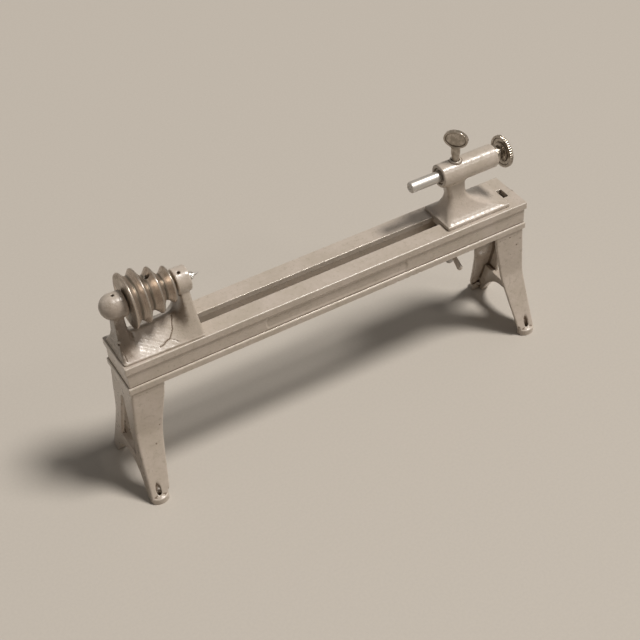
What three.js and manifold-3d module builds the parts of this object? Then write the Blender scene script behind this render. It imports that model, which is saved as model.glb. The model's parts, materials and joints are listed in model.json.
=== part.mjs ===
// Bench lathe: a small wood-turning lathe on two cast legs.
// Lengths are in millimetres, angles in degrees, +Z is up and +X runs from the headstock to the tailstock.
// Inside the group, x is measured from the bed's headstock end, y from its centre line and z from the floor.
// The tailstock's own group measures x from its clamp bolt's axis.
// The group is then shifted so that its origin lies on the floor under the middle of the bed.
import * as THREE from 'three';
import { mergeVertices } from 'three/addons/utils/BufferGeometryUtils.js';
import Module from 'manifold-3d';

const wasm = await Module();
wasm.setup();

// Clearances that all pieces share
const fit = {
  seat: 0.1, // between two flat faces that are bolted together
  running: 0.3, // round a shaft or a screw in its hole
  overrun: 2, // how far a cut runs past the face that it opens
  bury: 0.5, // how far a joined shape reaches into its neighbour of the same casting
};

// Numbers of flats on round shapes
const flats = { large: 36, medium: 28, small: 16, tiny: 12, hex: 6, cap: 4 };

const bed = {
  length: 400,
  width: 47,
  depth: 29.4, // from the top of the ways down to the underside of the bottom flange
  wayThickness: 5,
  slotWidth: 12,
  slotEndWall: 8.4, // solid metal left at each end of the slot
  lip: 7, // height of the edge of the ways, outside
  lipBevel: 0.5,
  panelRecess: 1.3, // how far the side panels stand back from the lip and the flange
  flange: 6.5, // height of the bottom flange
  flangeBevel: 0.9,
  wall: 3.4, // thickness of the side and end walls
  backEndStep: 1.5, // the back way ends this much short of the front way at the tailstock end
  bossRadius: 5, // bosses inside that take the leg screws
};

// Sunk, bare cartouche on the front panel
const cartouche = { start: 129, end: 271, height: 12, endBulge: 3.5, sink: 0.7, arcSteps: 8 };

const leg = {
  height: 116.2, // from the floor to the top face
  endInset: 1.8, // from the end of the bed to the outer face, at the top
  sideInset: 1.2, // from the side of the bed to the side plate, at the top
  topLength: 29.8, // along the bed, at the top
  footLength: 16.5, // along the bed, at the foot
  endPlate: 3.2,
  sidePlate: 3,
  topPlate: 4.5,
  topBevel: 1.4,
  splay: 22.5, // how far each side plate sweeps out at the floor, across the bed
  splayTop: 66, // height above the floor where the sweep begins
  splayPower: 1.12,
  kick: 6.6, // how far the foot stands out past the top, along the bed
  kickPower: 0.8,
  taperTop: 104, // height above the floor where the side plates begin to narrow
  band: 15, // width of the end plate beside the foot of the window
  sillTop: 37, // height of the bottom of the window
  sillDepth: 8, // how far the sill reaches in along the bed
  windowTop: 96,
  windowTopHalf: 2.2,
  archHeight: 29, // height of the arch between the feet
  archHalf: 33,
  archPower: 2.2,
  outlineSteps: 8,
};

const foot = {
  holeOut: 16, // from the side of the bed out to the screw hole
  toeOut: 22.5, // from the side of the bed out to the tip of the toe
  rootOut: 13.5, // from the side of the bed out to the inner edge of the pad
  thickness: 6.5,
  holeRadius: 2.1,
  bossRadius: 5,
  bossHeight: 0.8,
  dentRadius: 3.3, // hollow left in the side plate above the boss
  dentHeight: 20,
  roundHeight: 10.5, // height up to which the side plate's corners follow the round toe
};

// Places from the end and from the side of the bed
const legScrew = { along: 18, inset: 9.5, radius: 2.2, headRadius: 4.2, headHeight: 2.6, bite: 12, socket: 1.6 };

const head = {
  start: 1.6, // outer end of the base, from the end of the bed
  end: 73.8, // inner end of the base
  halfOuter: 20.4, // half width of the base at its outer end
  halfInner: 22.6, // half width of the base at its inner end
  edge: 2.2, // height of the upright edge round the base
  axis: 48.2, // height of the spindle's axis above the base
  barrelRadius: 11.1,
  barrelBevel: 1,
  domeCentre: 7.4, // middle of the ball end of the outer barrel
  domeSteps: 7,
  outerBarrelEnd: 17.4,
  innerBarrelStart: 60.8,
  innerBarrelEnd: 73,
  postTop: 46, // height of the posts' cores, inside the barrels
  postHalf: 9.4,
  saddle: 16.5, // height of the low part between the posts
  saddleHalf: 2.6,
  widenPower: 0.5, // how quickly the crest widens from the saddle up to a post
  saddleSwell: 4, // how much the saddle rises towards the inner post
  outerPostStart: 4, // outer face of the outer post, below its barrel
  outerPostEnd: 13,
  outerPostHalf: 7.6,
  innerPostStart: 62.6,
  innerPostTopEnd: 70.6,
  postRamp: 1.7, // how quickly the posts fall to the saddle
  rampReach: 8, // stretch along the bed over which that fall is drawn
  rampSteps: 6,
  saddleSteps: 4,
  flarePower: 1.25,
  outerFlarePower: 4,
  rows: 7,
  oilRadius: 1.45,
  outerOil: 9.1,
  innerOil: 65.3,
  innerOilLean: 17, // angle of the inner oil hole to the front
  tongueDepth: 3,
  tongueInset: 2.2, // from the inner end of the base to the end of the tongue
  ballPocket: 0.8, // place of the bottom of the outer bore
};

const bush = { wall: 1.6, start: 4.6 };

const ball = { radius: 2.2 };

const spindle = { radius: 5, noseRadius: 4.2, noseEnd: 75.4, socketRadius: 1.9, socketDepth: 12, chamfer: 0.6 };

// Rims and groove floors are pairs of place along the bed and radius
const pulley = {
  start: 18.3,
  end: 59.6,
  rims: [[19.7, 23.9], [30.9, 23.5], [43.9, 20], [56.4, 15.9]],
  floors: [[25.4, 18.8], [37.2, 14.8], [50.2, 11.2]],
  rimWidth: 1.7,
  rimRound: 0.5,
  hubRadius: 9,
  room: 1, // left free round the rims in the headstock
  wallPower: 1.5,
  grooveSteps: 4,
};

const grub = { along: 39.8, radius: 2, length: 6, socket: 1.1, socketDepth: 2 };

const spur = {
  hubRadius: 2.5,
  hubEnd: 76.4,
  bladeRadius: 4.4,
  bladeThickness: 1.2,
  bladeEnd: 78.4,
  blades: 4,
  pointRadius: 1.7,
  pointStart: 79,
  tip: 84,
};

// Places along the tailstock, and along the pieces that it carries, are measured from its clamp bolt's axis
const tail = {
  home: 8.2, // from the end of the slot to the tailstock, with the tailstock at rest
  start: -15.2,
  end: 51.8,
  half: 19.6, // half width of the base
  edge: 3.4, // height of the upright edge round the base
  flareTop: 22, // height above the base where the flare becomes the column
  flarePower: 1.6,
  flareSteps: 7,
  columnStart: -5.1,
  columnEnd: 11.9,
  columnHalf: 6.2,
  columnCorner: 2.6,
  columnLean: 8.6, // how far the column's outer face runs out to the barrel's mouth
  leanPower: 1.5,
  leanSteps: 4,
  baseCorner: 1,
  cornerSteps: 3,
  barrelStart: -14,
  barrelEnd: 43.1,
  barrelRadius: 10.7,
  barrelBevel: 0.8,
  mouthRadius: 8,
  mouthDepth: 2.2,
  endWall: 4, // thickness of the wall behind the quill's bore
  tongueDepth: 4.6,
};

const quill = {
  radius: 5.1,
  tip: -44,
  end: 20.4,
  tipBevel: 0.8,
  keyWidth: 2.4,
  keyDepth: 1.4,
  keyStart: -16.6,
  tapEnd: -27.6,
};

const cup = { rimRadius: 3.6, shankRadius: 2.2, shankLength: 9, pointRadius: 0.9, proud: 0.6 };

const dog = { along: 2.4, radius: 1.1, length: 5 };

const feed = { radius: 2.5, start: -7.6, collarRadius: 4.9, collarWidth: 2, neckRadius: 3.3, chamfer: 0.5 };

const wheel = {
  radius: 15,
  width: 3.5,
  rim: 1.9,
  dish: 0.9, // how far the faces sink inside the rim
  round: 0.5,
  ringRadius: 9, // raised ring on the inner face
  ringWidth: 1.6,
  collarRadius: 8,
  collarLength: 3.6,
  neckRadius: 6.4,
  hubLength: 9, // from the barrel to the wheel's inner face
  hubRadius: 5.6, // behind the wheel
  hubBack: 2.4, // how far the hub stands out behind the wheel
  teeth: 40,
  toothDepth: 0.5,
  pinRadius: 1.1,
};

const thumb = {
  along: 3.4,
  radius: 3.6,
  chamfer: 0.5,
  seatRadius: 5.2,
  seatHeight: 0.9,
  headHalfWidth: 10.9,
  headHalfHeight: 8.6,
  headCentre: 32.6, // height of the middle of the head above the quill's axis
  headThickness: 4.2,
  dish: 1.2, // how far each face of the head sinks inside its rim
  rimWidth: 1.7,
  rimRound: 0.6,
  neckStart: 19.5, // where the round shank begins to spread into the head
  neckHalf: 7.6, // half width of the neck where it meets the head
  turn: -50.7, // angle between the head's faces and the bed's front
};

const clamp = {
  boltRadius: 3.4,
  boltBite: 15, // how far the bolt reaches up into the tailstock
  boltBelow: 25.6, // how far the bolt reaches down below the bed
  plateLength: 24,
  plateInset: 3.4, // from the side of the bed to the end of the plate
  plateHeight: 3.2,
  guideHeight: 3.5,
  guideGap: 0.6,
  washerRadius: 7.4,
  washerHeight: 1.4,
  hubRadius: 6.8,
  hubHeight: 11,
  armRadius: 2.7,
  armAlong: 1.4,
  armAcross: -15,
  armDown: -12.4,
};

const headClamp = {
  start: 27,
  end: 59,
  half: 10.5,
  height: 4,
  boltOuter: 34,
  boltInner: 52,
  boltRadius: 2.4,
  bite: 9,
  hexRadius: 4.6,
  hexHeight: 3.4,
};

const paint = new THREE.MeshStandardMaterial({ color: 0xb9ae9d, roughness: 0.45, metalness: 0.1 });
const steel = new THREE.MeshStandardMaterial({ color: 0xa8a39b, roughness: 0.25, metalness: 1 });
const darkSteel = new THREE.MeshStandardMaterial({ color: 0x7a6f63, roughness: 0.35, metalness: 1 });
const nickel = new THREE.MeshStandardMaterial({ color: 0xb9b3a6, roughness: 0.22, metalness: 1 });
const bronze = new THREE.MeshStandardMaterial({ color: 0xa57c45, roughness: 0.4, metalness: 1 });

// Levels and places that several pieces share
const bedBottom = leg.height + fit.seat;
const wayTop = bedBottom + bed.depth;
const wayUnder = wayTop - bed.wayThickness;
const bedHalf = bed.width / 2;
const panelHalf = bedHalf - bed.panelRecess;
const screwAcross = bedHalf - legScrew.inset;
const footAcross = bedHalf + foot.holeOut;
const footReach = bedHalf + foot.toeOut;
const seatZ = wayTop + fit.seat;
const axisZ = seatZ + head.axis;
const boreRadius = spindle.radius + fit.running + bush.wall + fit.seat;
const slotHalf = bed.slotWidth / 2;
const tongueHalf = slotHalf - fit.running;

// Solids from geometries, and back
function solid(geometry) {
  const bare = new THREE.BufferGeometry();
  bare.setAttribute('position', geometry.getAttribute('position').clone());
  if (geometry.index) bare.setIndex(geometry.index.clone());
  const merged = mergeVertices(bare);
  const points = merged.getAttribute('position').array;
  const faces = [];
  const corner = (i) => new THREE.Vector3().fromArray(points, i + i + i);
  let volume = 0;
  const index = merged.index.array;
  for (let i = 0; i < index.length; i += 3) {
    const [a, b, c] = index.slice(i, i + 3);
    if (a === b || b === c || c === a) continue;
    faces.push([a, b, c]);
    volume += corner(a).dot(corner(b).cross(corner(c)));
  }
  const outward = volume > 0 ? faces : faces.map(([a, b, c]) => [a, c, b]);
  return new wasm.Manifold(new wasm.Mesh({
    numProp: 3,
    vertProperties: new Float32Array(points),
    triVerts: new Uint32Array(outward.flat()),
  }));
}

function geometryOf(body) {
  const mesh = body.getMesh();
  const geometry = new THREE.BufferGeometry();
  geometry.setAttribute('position', new THREE.BufferAttribute(Float32Array.from(mesh.vertProperties), 3));
  geometry.setIndex(new THREE.BufferAttribute(Uint32Array.from(mesh.triVerts), 1));
  geometry.computeVertexNormals();
  return geometry;
}

const join = (first, ...others) => others.reduce((sum, next) => sum.add(next), first);
const cut = (first, ...others) => others.reduce((rest, next) => rest.subtract(next), first);

// A box between two corners
function box(low, high) {
  const size = high.map((value, i) => value - low[i]);
  const middle = high.map((value, i) => (value + low[i]) / 2);
  return solid(new THREE.BoxGeometry(...size).translate(...middle));
}

// A closed skin over rings of points, each ring with the same number of points, and flat ends
function loft(rings) {
  const count = rings[0].length;
  const positions = rings.flat(2);
  const faces = [];
  for (let r = 0; r + 1 < rings.length; r += 1) {
    for (let i = 0; i < count; i += 1) {
      const a = r * count + i;
      const b = r * count + ((i + 1) % count);
      faces.push(a, b, b + count, a, b + count, a + count);
    }
  }
  faces.push(...capFaces(rings[0], 0, false));
  faces.push(...capFaces(rings[rings.length - 1], (rings.length - 1) * count, true));
  const geometry = new THREE.BufferGeometry();
  geometry.setAttribute('position', new THREE.BufferAttribute(new Float32Array(positions), 3));
  geometry.setIndex(faces);
  return solid(geometry);
}

// Triangles over one end ring, wound with the ring or against it
function capFaces(ring, offset, withRing) {
  const spread = [0, 1, 2].map((k) => Math.max(...ring.map((p) => p[k])) - Math.min(...ring.map((p) => p[k])));
  const flatAxis = spread.indexOf(Math.min(...spread));
  const outline = ring.map((p) => new THREE.Vector2(...p.filter((value, k) => k !== flatAxis)));
  const ringArea = THREE.ShapeUtils.area(outline);
  return THREE.ShapeUtils.triangulateShape(outline, []).flatMap((face) => {
    const sameWay = THREE.ShapeUtils.area(face.map((i) => outline[i])) * ringArea > 0;
    const order = sameWay === withRing ? face : [...face].reverse();
    return order.map((i) => i + offset);
  });
}

// A flat outline of [across, up] points carried along the bed from one x to another
function plateAcross(points, from, to) {
  return loft([from, to].map((x) => points.map(([y, z]) => [x, y, z])));
}

// A flat outline of [along, up] points carried across the bed from one y to another
function plateAlong(points, from, to) {
  return loft([from, to].map((y) => points.map(([x, z]) => [x, y, z])));
}

// A flat outline of [along, across] points carried up from one z to another
function plateUp(points, from, to) {
  return loft([from, to].map((z) => points.map(([x, y]) => [x, y, z])));
}

// A slab whose upper edges are bevelled
function slab([x0, x1], half, [z0, z1], bevel) {
  const ring = (inset, z) => [
    [x0 + inset, -half + inset, z],
    [x1 - inset, -half + inset, z],
    [x1 - inset, half - inset, z],
    [x0 + inset, half - inset, z],
  ];
  return loft([ring(0, z0), ring(0, z1 - bevel), ring(bevel, z1)]);
}

// A turned piece: [place, radius] points from one end of its axis to the other
function turned(profile, count) {
  const points = profile.map(([place, radius]) => new THREE.Vector2(radius, place));
  return new THREE.LatheGeometry(points, count);
}

const turnedAlong = (profile, count) =>
  solid(turned(profile, count).rotateZ(-Math.PI / 2).translate(0, 0, axisZ));
const turnedUp = (profile, count, x, y) =>
  solid(turned(profile, count).rotateX(Math.PI / 2).translate(x, y, 0));

// Plain rods along the bed, at the height of the axis, and upright
const rodAlong = (radius, from, to, count) =>
  turnedAlong([[from, 0], [from, radius], [to, radius], [to, 0]], count);
const rodUp = (radius, from, to, count, x, y) =>
  turnedUp([[from, 0], [from, radius], [to, radius], [to, 0]], count, x, y);

const steps = (count) => Array.from({ length: count + 1 }, (unused, i) => i / count);
const mix = (from, to, share) => from + (to - from) * share;

function bedBody() {
  const lip = slab([0, bed.length], bedHalf, [wayTop - bed.lip, wayTop], bed.lipBevel);
  const flange = slab([0, bed.length], bedHalf, [bedBottom, bedBottom + bed.flange], bed.flangeBevel);
  const core = box(
    [bed.panelRecess, -panelHalf, bedBottom],
    [bed.length - bed.panelRecess, panelHalf, wayTop - bed.lipBevel],
  );
  const inner = bed.panelRecess + bed.wall;
  const hollow = box(
    [inner, -panelHalf + bed.wall, bedBottom - fit.overrun],
    [bed.length - inner, panelHalf - bed.wall, wayUnder],
  );
  const slot = box(
    [bed.slotEndWall, -slotHalf, wayUnder - fit.overrun],
    [bed.length - bed.slotEndWall, slotHalf, wayTop + fit.overrun],
  );
  const step = box(
    [bed.length - bed.backEndStep, 0, wayTop - bed.lip],
    [bed.length + fit.overrun, bedHalf + fit.overrun, wayTop + fit.overrun],
  );
  const shell = cut(join(lip, flange, core), hollow, slot, step, cartoucheCut());
  const bosses = screwPlaces().map(([x, y]) =>
    rodUp(bed.bossRadius, bedBottom, wayUnder + fit.bury, flats.small, x, y));
  const holes = screwPlaces().map(([x, y]) =>
    rodUp(legScrew.radius + fit.running, bedBottom - fit.overrun, bedBottom + legScrew.bite, flats.tiny, x, y));
  return cut(join(shell, ...bosses), ...holes);
}

// Middles of the four leg screws
function screwPlaces() {
  return [legScrew.along, bed.length - legScrew.along].flatMap((x) =>
    [-screwAcross, screwAcross].map((y) => [x, y]));
}

// The cartouche has straight long edges and bowed ends
function cartoucheCut() {
  const middle = (bedBottom + bed.flange + wayTop - bed.lip) / 2;
  const half = cartouche.height / 2;
  const bow = (end, outward) => steps(cartouche.arcSteps).map((share) => {
    const angle = Math.PI * (share - 0.5);
    return [end + outward * cartouche.endBulge * (Math.cos(angle) - 1), middle + outward * half * Math.sin(angle)];
  });
  const outline = [...bow(cartouche.end, 1), ...bow(cartouche.start, -1)];
  return plateAlong(outline, -panelHalf - fit.overrun, -panelHalf + cartouche.sink);
}

// Shape of a leg: places at a height z above the floor
const legOuter = (z) => leg.endInset - leg.kick * (1 - z / leg.height) ** leg.kickPower;
const legTaper = (z) => Math.max(0, (leg.taperTop - z) / leg.taperTop);
const legInner = (z) => legOuter(z) + mix(leg.topLength, leg.footLength, legTaper(z));
const legHalf = (z) =>
  bedHalf - leg.sideInset + leg.splay * Math.max(0, (leg.splayTop - z) / leg.splayTop) ** leg.splayPower;

function legBody() {
  const heights = steps(leg.outlineSteps).map((share) => leg.height * share);
  const sideView = [
    ...heights.map((z) => [legOuter(z), z]),
    ...[...heights].reverse().map((z) => [legInner(z), z]),
  ];
  const reach = legHalf(0) + fit.overrun;
  const envelope = plateAlong(sideView, -reach, reach);
  const lower = steps(leg.outlineSteps).map((share) => (leg.height - leg.topPlate + fit.bury) * share);
  const span = [legOuter(0) - fit.overrun, legInner(leg.height) + fit.overrun];
  const sides = [-1, 1].map((way) => plateAcross([
    ...lower.map((z) => [way * legHalf(z), z]),
    ...[...lower].reverse().map((z) => [way * (legHalf(z) - leg.sidePlate), z]),
  ], ...span));
  const arch = steps(leg.outlineSteps).map((share) => {
    const y = mix(leg.archHalf, -leg.archHalf, share);
    return [y, leg.archHeight * (1 - Math.abs(y / leg.archHalf) ** leg.archPower)];
  });
  const frame = plateAcross([
    ...lower.map((z) => [-legHalf(z), z]),
    ...[...lower].reverse().map((z) => [legHalf(z), z]),
    ...arch,
  ], ...span);
  const windowHalf = legHalf(leg.sillTop) - leg.band;
  const window = plateAcross([
    [-windowHalf, leg.sillTop],
    [windowHalf, leg.sillTop],
    [leg.windowTopHalf, leg.windowTop],
    [-leg.windowTopHalf, leg.windowTop],
  ], ...span);
  const band = (depth) => plateAlong([
    ...heights.map((z) => [legOuter(z), z]),
    ...[...heights].reverse().map((z) => [legOuter(z) + depth, z]),
  ], -reach, reach);
  const endPlate = cut(frame, window).intersect(band(leg.endPlate));
  const sillBlock = box([span[0], -reach, 0], [span[1], reach, leg.sillTop]);
  const sill = frame.intersect(band(leg.sillDepth)).intersect(sillBlock);
  const top = slab(
    [leg.endInset, leg.endInset + leg.topLength],
    legHalf(leg.height),
    [leg.height - leg.topPlate, leg.height],
    leg.topBevel,
  );
  const plates = join(...sides.map((side) => side.intersect(envelope)), endPlate, sill);
  const pads = [-1, 1].map(footPad);
  const corners = [-1, 1].map(toeCorners);
  const dents = [-1, 1].map((way) => rodUp(
    foot.dentRadius, bossTop, bossTop + foot.dentHeight, flats.small, footMiddle, way * footAcross,
  ));
  const holes = [-1, 1].map((way) => rodUp(
    foot.holeRadius, -fit.overrun, bossTop + fit.overrun, flats.small, footMiddle, way * footAcross,
  ));
  const screwHoles = [-1, 1].map((way) => rodUp(
    legScrew.radius + fit.running, leg.height - leg.topPlate - fit.overrun, leg.height + fit.overrun,
    flats.tiny, legScrew.along, way * screwAcross,
  ));
  return cut(join(cut(plates, ...corners), top, ...pads), ...dents, ...holes, ...screwHoles);
}

// Middle of a foot along the bed, and half its width
const footMiddle = legOuter(0) + leg.footLength / 2;
const footHalf = leg.footLength / 2;
const bossTop = foot.thickness + foot.bossHeight;

// Round toe of a foot, from one side to the other, seen from above
function toeOutline(way) {
  return steps(flats.tiny).map((share) => {
    const angle = Math.PI * share;
    const across = footAcross + (footReach - footAcross) * Math.sin(angle);
    return [footMiddle + footHalf * Math.cos(angle), way * across];
  });
}

// Foot pad: a tongue with a round end, and a low round boss
function footPad(way) {
  const rootAcross = way * (bedHalf + foot.rootOut);
  const root = [-footHalf, footHalf].map((x) => [footMiddle + x, rootAcross]);
  const pad = plateUp([...toeOutline(way), ...root], 0, foot.thickness);
  const boss = rodUp(
    foot.bossRadius, foot.thickness - fit.bury, bossTop, flats.small, footMiddle, way * footAcross,
  );
  return join(pad, boss);
}

// What a toe leaves outside its round end, up to the height where the side plate is square again
function toeCorners(way) {
  const sides = [-1, 1].map((side) => footMiddle + side * (footHalf + fit.overrun));
  const outer = way * (footReach + fit.overrun);
  const inner = way * footAcross;
  const block = plateUp(
    [[sides[0], inner], [sides[1], inner], [sides[1], outer], [sides[0], outer]],
    -fit.overrun, foot.roundHeight,
  );
  return cut(block, plateUp(toeOutline(way), -fit.overrun - fit.overrun, foot.roundHeight + fit.overrun));
}

// Height of the headstock's body above its base at a place along the bed
function headCrest(x) {
  const tall = head.postTop - head.saddle;
  const outer = Math.exp(-Math.max(0, x - head.outerPostEnd) / head.postRamp);
  const inner = Math.exp(-Math.max(0, head.innerPostStart - x) / head.postRamp);
  const run = Math.max(0, (x - head.outerPostEnd) / (head.innerPostStart - head.outerPostEnd));
  const swell = head.saddleSwell * Math.min(1, run) ** 2 * (1 - inner);
  return head.saddle + tall * Math.max(outer, inner) + swell;
}

// Cross section of the headstock's body: flanks that flare out to the base, and ends that lean in
function headRing(x) {
  const crest = headCrest(x);
  const tallShare = Math.min(1, (crest - head.saddle) / (head.postTop - head.saddle));
  const alongShare = (x - head.start) / (head.end - head.start);
  const postHalf = mix(head.outerPostHalf, head.postHalf, alongShare);
  const topHalf = mix(head.saddleHalf, postHalf, tallShare ** head.widenPower);
  const baseHalf = mix(head.halfOuter, head.halfInner, alongShare);
  const outerShare = Math.exp(-Math.max(0, x - head.outerPostEnd) / head.postRamp);
  const power = mix(head.flarePower, head.outerFlarePower, outerShare);
  const outerEnd = Math.max(0, (head.outerPostEnd - x) / (head.outerPostEnd - head.start));
  const innerEnd = Math.max(0, (x - head.innerPostStart) / (head.end - head.innerPostStart));
  const lean = (head.outerPostStart - head.start) * outerEnd - (head.end - head.innerPostTopEnd) * innerEnd;
  const flank = steps(head.rows).map((share) => {
    const spread = (1 - share) ** power;
    return [x + lean * (1 - spread), mix(topHalf, baseHalf, spread), seatZ + mix(head.edge, crest, share)];
  });
  const front = [[x, baseHalf, seatZ], ...flank];
  return [...front, ...front.map(([px, py, pz]) => [px, -py, pz]).reverse()];
}

// Places along the bed of the headstock's sections, closest together where the posts begin to fall
function headPlaces() {
  const ramp = steps(head.rampSteps).map((share) => head.rampReach * share ** 2);
  const outer = ramp.map((reach) => head.outerPostEnd + reach);
  const inner = [...ramp].reverse().map((reach) => head.innerPostStart - reach);
  const shares = steps(head.saddleSteps).slice(1, -1);
  const saddle = shares.map((share) => mix(outer[outer.length - 1], inner[0], share));
  return [head.start, ...outer, ...saddle, ...inner, head.end];
}

function headBody() {
  const body = loft(headPlaces().map(headRing));
  const dome = steps(head.domeSteps).map((share) => {
    const angle = (Math.PI / 2) * share;
    return [head.domeCentre - head.barrelRadius * Math.cos(angle), head.barrelRadius * Math.sin(angle)];
  });
  const outerBarrel = turnedAlong([
    ...dome,
    [head.outerBarrelEnd - head.barrelBevel, head.barrelRadius],
    [head.outerBarrelEnd, head.barrelRadius - head.barrelBevel],
    [head.outerBarrelEnd, 0],
  ], flats.medium);
  const innerBarrel = turnedAlong([
    [head.innerBarrelStart, 0],
    [head.innerBarrelStart, head.barrelRadius - head.barrelBevel],
    [head.innerBarrelStart + head.barrelBevel, head.barrelRadius],
    [head.innerBarrelEnd - head.barrelBevel, head.barrelRadius],
    [head.innerBarrelEnd, head.barrelRadius - head.barrelBevel],
    [head.innerBarrelEnd, 0],
  ], flats.medium);
  const tongue = box(
    [bed.slotEndWall + fit.running, -tongueHalf, wayTop - head.tongueDepth],
    [head.end - head.tongueInset, tongueHalf, seatZ + fit.bury],
  );
  const pocket = rodAlong(ball.radius + fit.running, head.ballPocket, head.outerBarrelEnd, flats.small);
  const outerBore = rodAlong(boreRadius, bush.start, head.outerBarrelEnd + fit.overrun, flats.medium);
  const innerBore = rodAlong(
    boreRadius, head.innerBarrelStart - fit.overrun, head.innerBarrelEnd + fit.overrun, flats.medium,
  );
  const boltHoles = [headClamp.boltOuter, headClamp.boltInner].map((x) => rodUp(
    headClamp.boltRadius + fit.running, wayTop - head.tongueDepth - fit.overrun,
    seatZ + headClamp.bite + fit.seat, flats.tiny, x, 0,
  ));
  const clearance = turnedAlong(pulleyClearance(), flats.large);
  return cut(
    join(body, outerBarrel, innerBarrel, tongue),
    pocket, outerBore, innerBore, clearance, oilHole(head.outerOil, 0),
    oilHole(head.innerOil, head.innerOilLean), ...boltHoles,
  );
}

// Room that the turning pulley needs
function pulleyClearance() {
  const rims = pulley.rims.map(([place, radius]) => [place, radius + pulley.room]);
  return [
    [pulley.start - fit.running, 0],
    [pulley.start - fit.running, rims[0][1]],
    ...rims,
    [pulley.end + fit.running, rims[rims.length - 1][1]],
    [pulley.end + fit.running, 0],
  ];
}

// Oil hole through a barrel and its bush, leaning to the front
function oilHole(x, lean) {
  const reach = head.barrelRadius + fit.overrun;
  const drill = turned([[0, 0], [0, head.oilRadius], [reach, head.oilRadius], [reach, 0]], flats.tiny);
  return solid(drill.rotateX(Math.PI / 2).rotateX(THREE.MathUtils.degToRad(lean)).translate(x, 0, axisZ));
}

function bushBody(start, end, oil, lean) {
  const outer = boreRadius - fit.seat;
  const ring = cut(
    rodAlong(outer, start, end, flats.medium),
    rodAlong(spindle.radius + fit.running, start - fit.overrun, end + fit.overrun, flats.medium),
  );
  return cut(ring, oilHole(oil, lean));
}

const spindleStart = head.ballPocket + fit.seat + ball.radius + ball.radius + fit.seat;
const noseStart = head.innerBarrelEnd + fit.running;

function spindleBody() {
  const shaft = turnedAlong([
    [spindleStart, 0],
    [spindleStart, spindle.radius - spindle.chamfer],
    [spindleStart + spindle.chamfer, spindle.radius],
    [noseStart, spindle.radius],
    [noseStart, spindle.noseRadius],
    [spindle.noseEnd, spindle.noseRadius],
    [spindle.noseEnd, 0],
  ], flats.medium);
  const socket = rodAlong(
    spindle.socketRadius, spindle.noseEnd - spindle.socketDepth, spindle.noseEnd + fit.overrun, flats.small,
  );
  return cut(shaft, socket);
}

// Outline of the pulley: rims with rounded edges, and grooves whose walls curve into their floors
function pulleyProfile() {
  const half = pulley.rimWidth / 2;
  const points = [[pulley.start, 0], [pulley.start, pulley.rims[0][1] - pulley.rimRound]];
  pulley.rims.forEach(([place, radius], i) => {
    if (i > 0) points.push([place - half, radius - pulley.rimRound]);
    points.push([place - half + pulley.rimRound, radius], [place + half - pulley.rimRound, radius]);
    points.push([place + half, radius - pulley.rimRound]);
    const floor = pulley.floors[i];
    if (!floor) return;
    const next = pulley.rims[i + 1];
    const wall = (from, rim, share) => [
      mix(floor[0], from, share),
      mix(floor[1], rim - pulley.rimRound, share ** pulley.wallPower),
    ];
    const shares = steps(pulley.grooveSteps).slice(1, -1);
    points.push(...[...shares].reverse().map((share) => wall(place + half, radius, share)));
    points.push(floor);
    points.push(...shares.map((share) => wall(next[0] - half, next[1], share)));
  });
  points.push([pulley.end, pulley.hubRadius], [pulley.end, 0]);
  return points;
}

function pulleyBody() {
  const bore = rodAlong(
    spindle.radius + fit.seat, pulley.start - fit.overrun, pulley.end + fit.overrun, flats.medium,
  );
  const screwHole = rodUp(
    grub.radius + fit.seat, axisZ, axisZ + pulley.rims[0][1], flats.small, grub.along, 0,
  );
  return cut(turnedAlong(pulleyProfile(), flats.large), bore, screwHole);
}

function grubBody() {
  const bottom = axisZ + spindle.radius + fit.seat;
  const screw = rodUp(grub.radius, bottom, bottom + grub.length, flats.tiny, grub.along, 0);
  const end = bottom + grub.length;
  const socket = rodUp(grub.socket, end - grub.socketDepth, end + fit.overrun, flats.hex, grub.along, 0);
  return cut(screw, socket);
}

function spurBody() {
  const start = spindle.noseEnd - spindle.socketDepth + fit.running;
  const shankRadius = spindle.socketRadius - fit.seat;
  const face = spindle.noseEnd + fit.seat;
  const turnedPart = turnedAlong([
    [start, 0],
    [start, shankRadius],
    [face, shankRadius],
    [face, spur.hubRadius],
    [spur.hubEnd, spur.hubRadius],
    [spur.bladeEnd, spur.pointRadius],
    [spur.pointStart, spur.pointRadius],
    [spur.tip, 0],
  ], flats.small);
  const half = spur.bladeThickness / 2;
  const wing = loft([-half, half].map((y) => [
    [face, y, 0],
    [face, y, spur.bladeRadius],
    [spur.hubEnd, y, spur.bladeRadius],
    [spur.bladeEnd, y, spur.hubRadius],
    [spur.bladeEnd, y, 0],
  ]));
  const wings = steps(spur.blades).slice(1).map((share) =>
    wing.rotate([360 * share, 0, 0]).translate([0, 0, axisZ]));
  return join(turnedPart, ...wings);
}

function ballBody() {
  const middle = head.ballPocket + fit.seat + ball.radius;
  return solid(new THREE.SphereGeometry(ball.radius, flats.small, flats.tiny).translate(middle, 0, axisZ));
}

// Outline of a rounded rectangle, with the same number of points for every size
function roundedPlan([x0, x1], half, corner) {
  const middles = [[x1 - corner, half - corner], [x0 + corner, half - corner],
    [x0 + corner, -half + corner], [x1 - corner, -half + corner]];
  return middles.flatMap(([x, y], quarter) => steps(tail.cornerSteps).map((share) => {
    const angle = (Math.PI / 2) * (quarter + share);
    return [x + corner * Math.cos(angle), y + corner * Math.sin(angle)];
  }));
}

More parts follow.
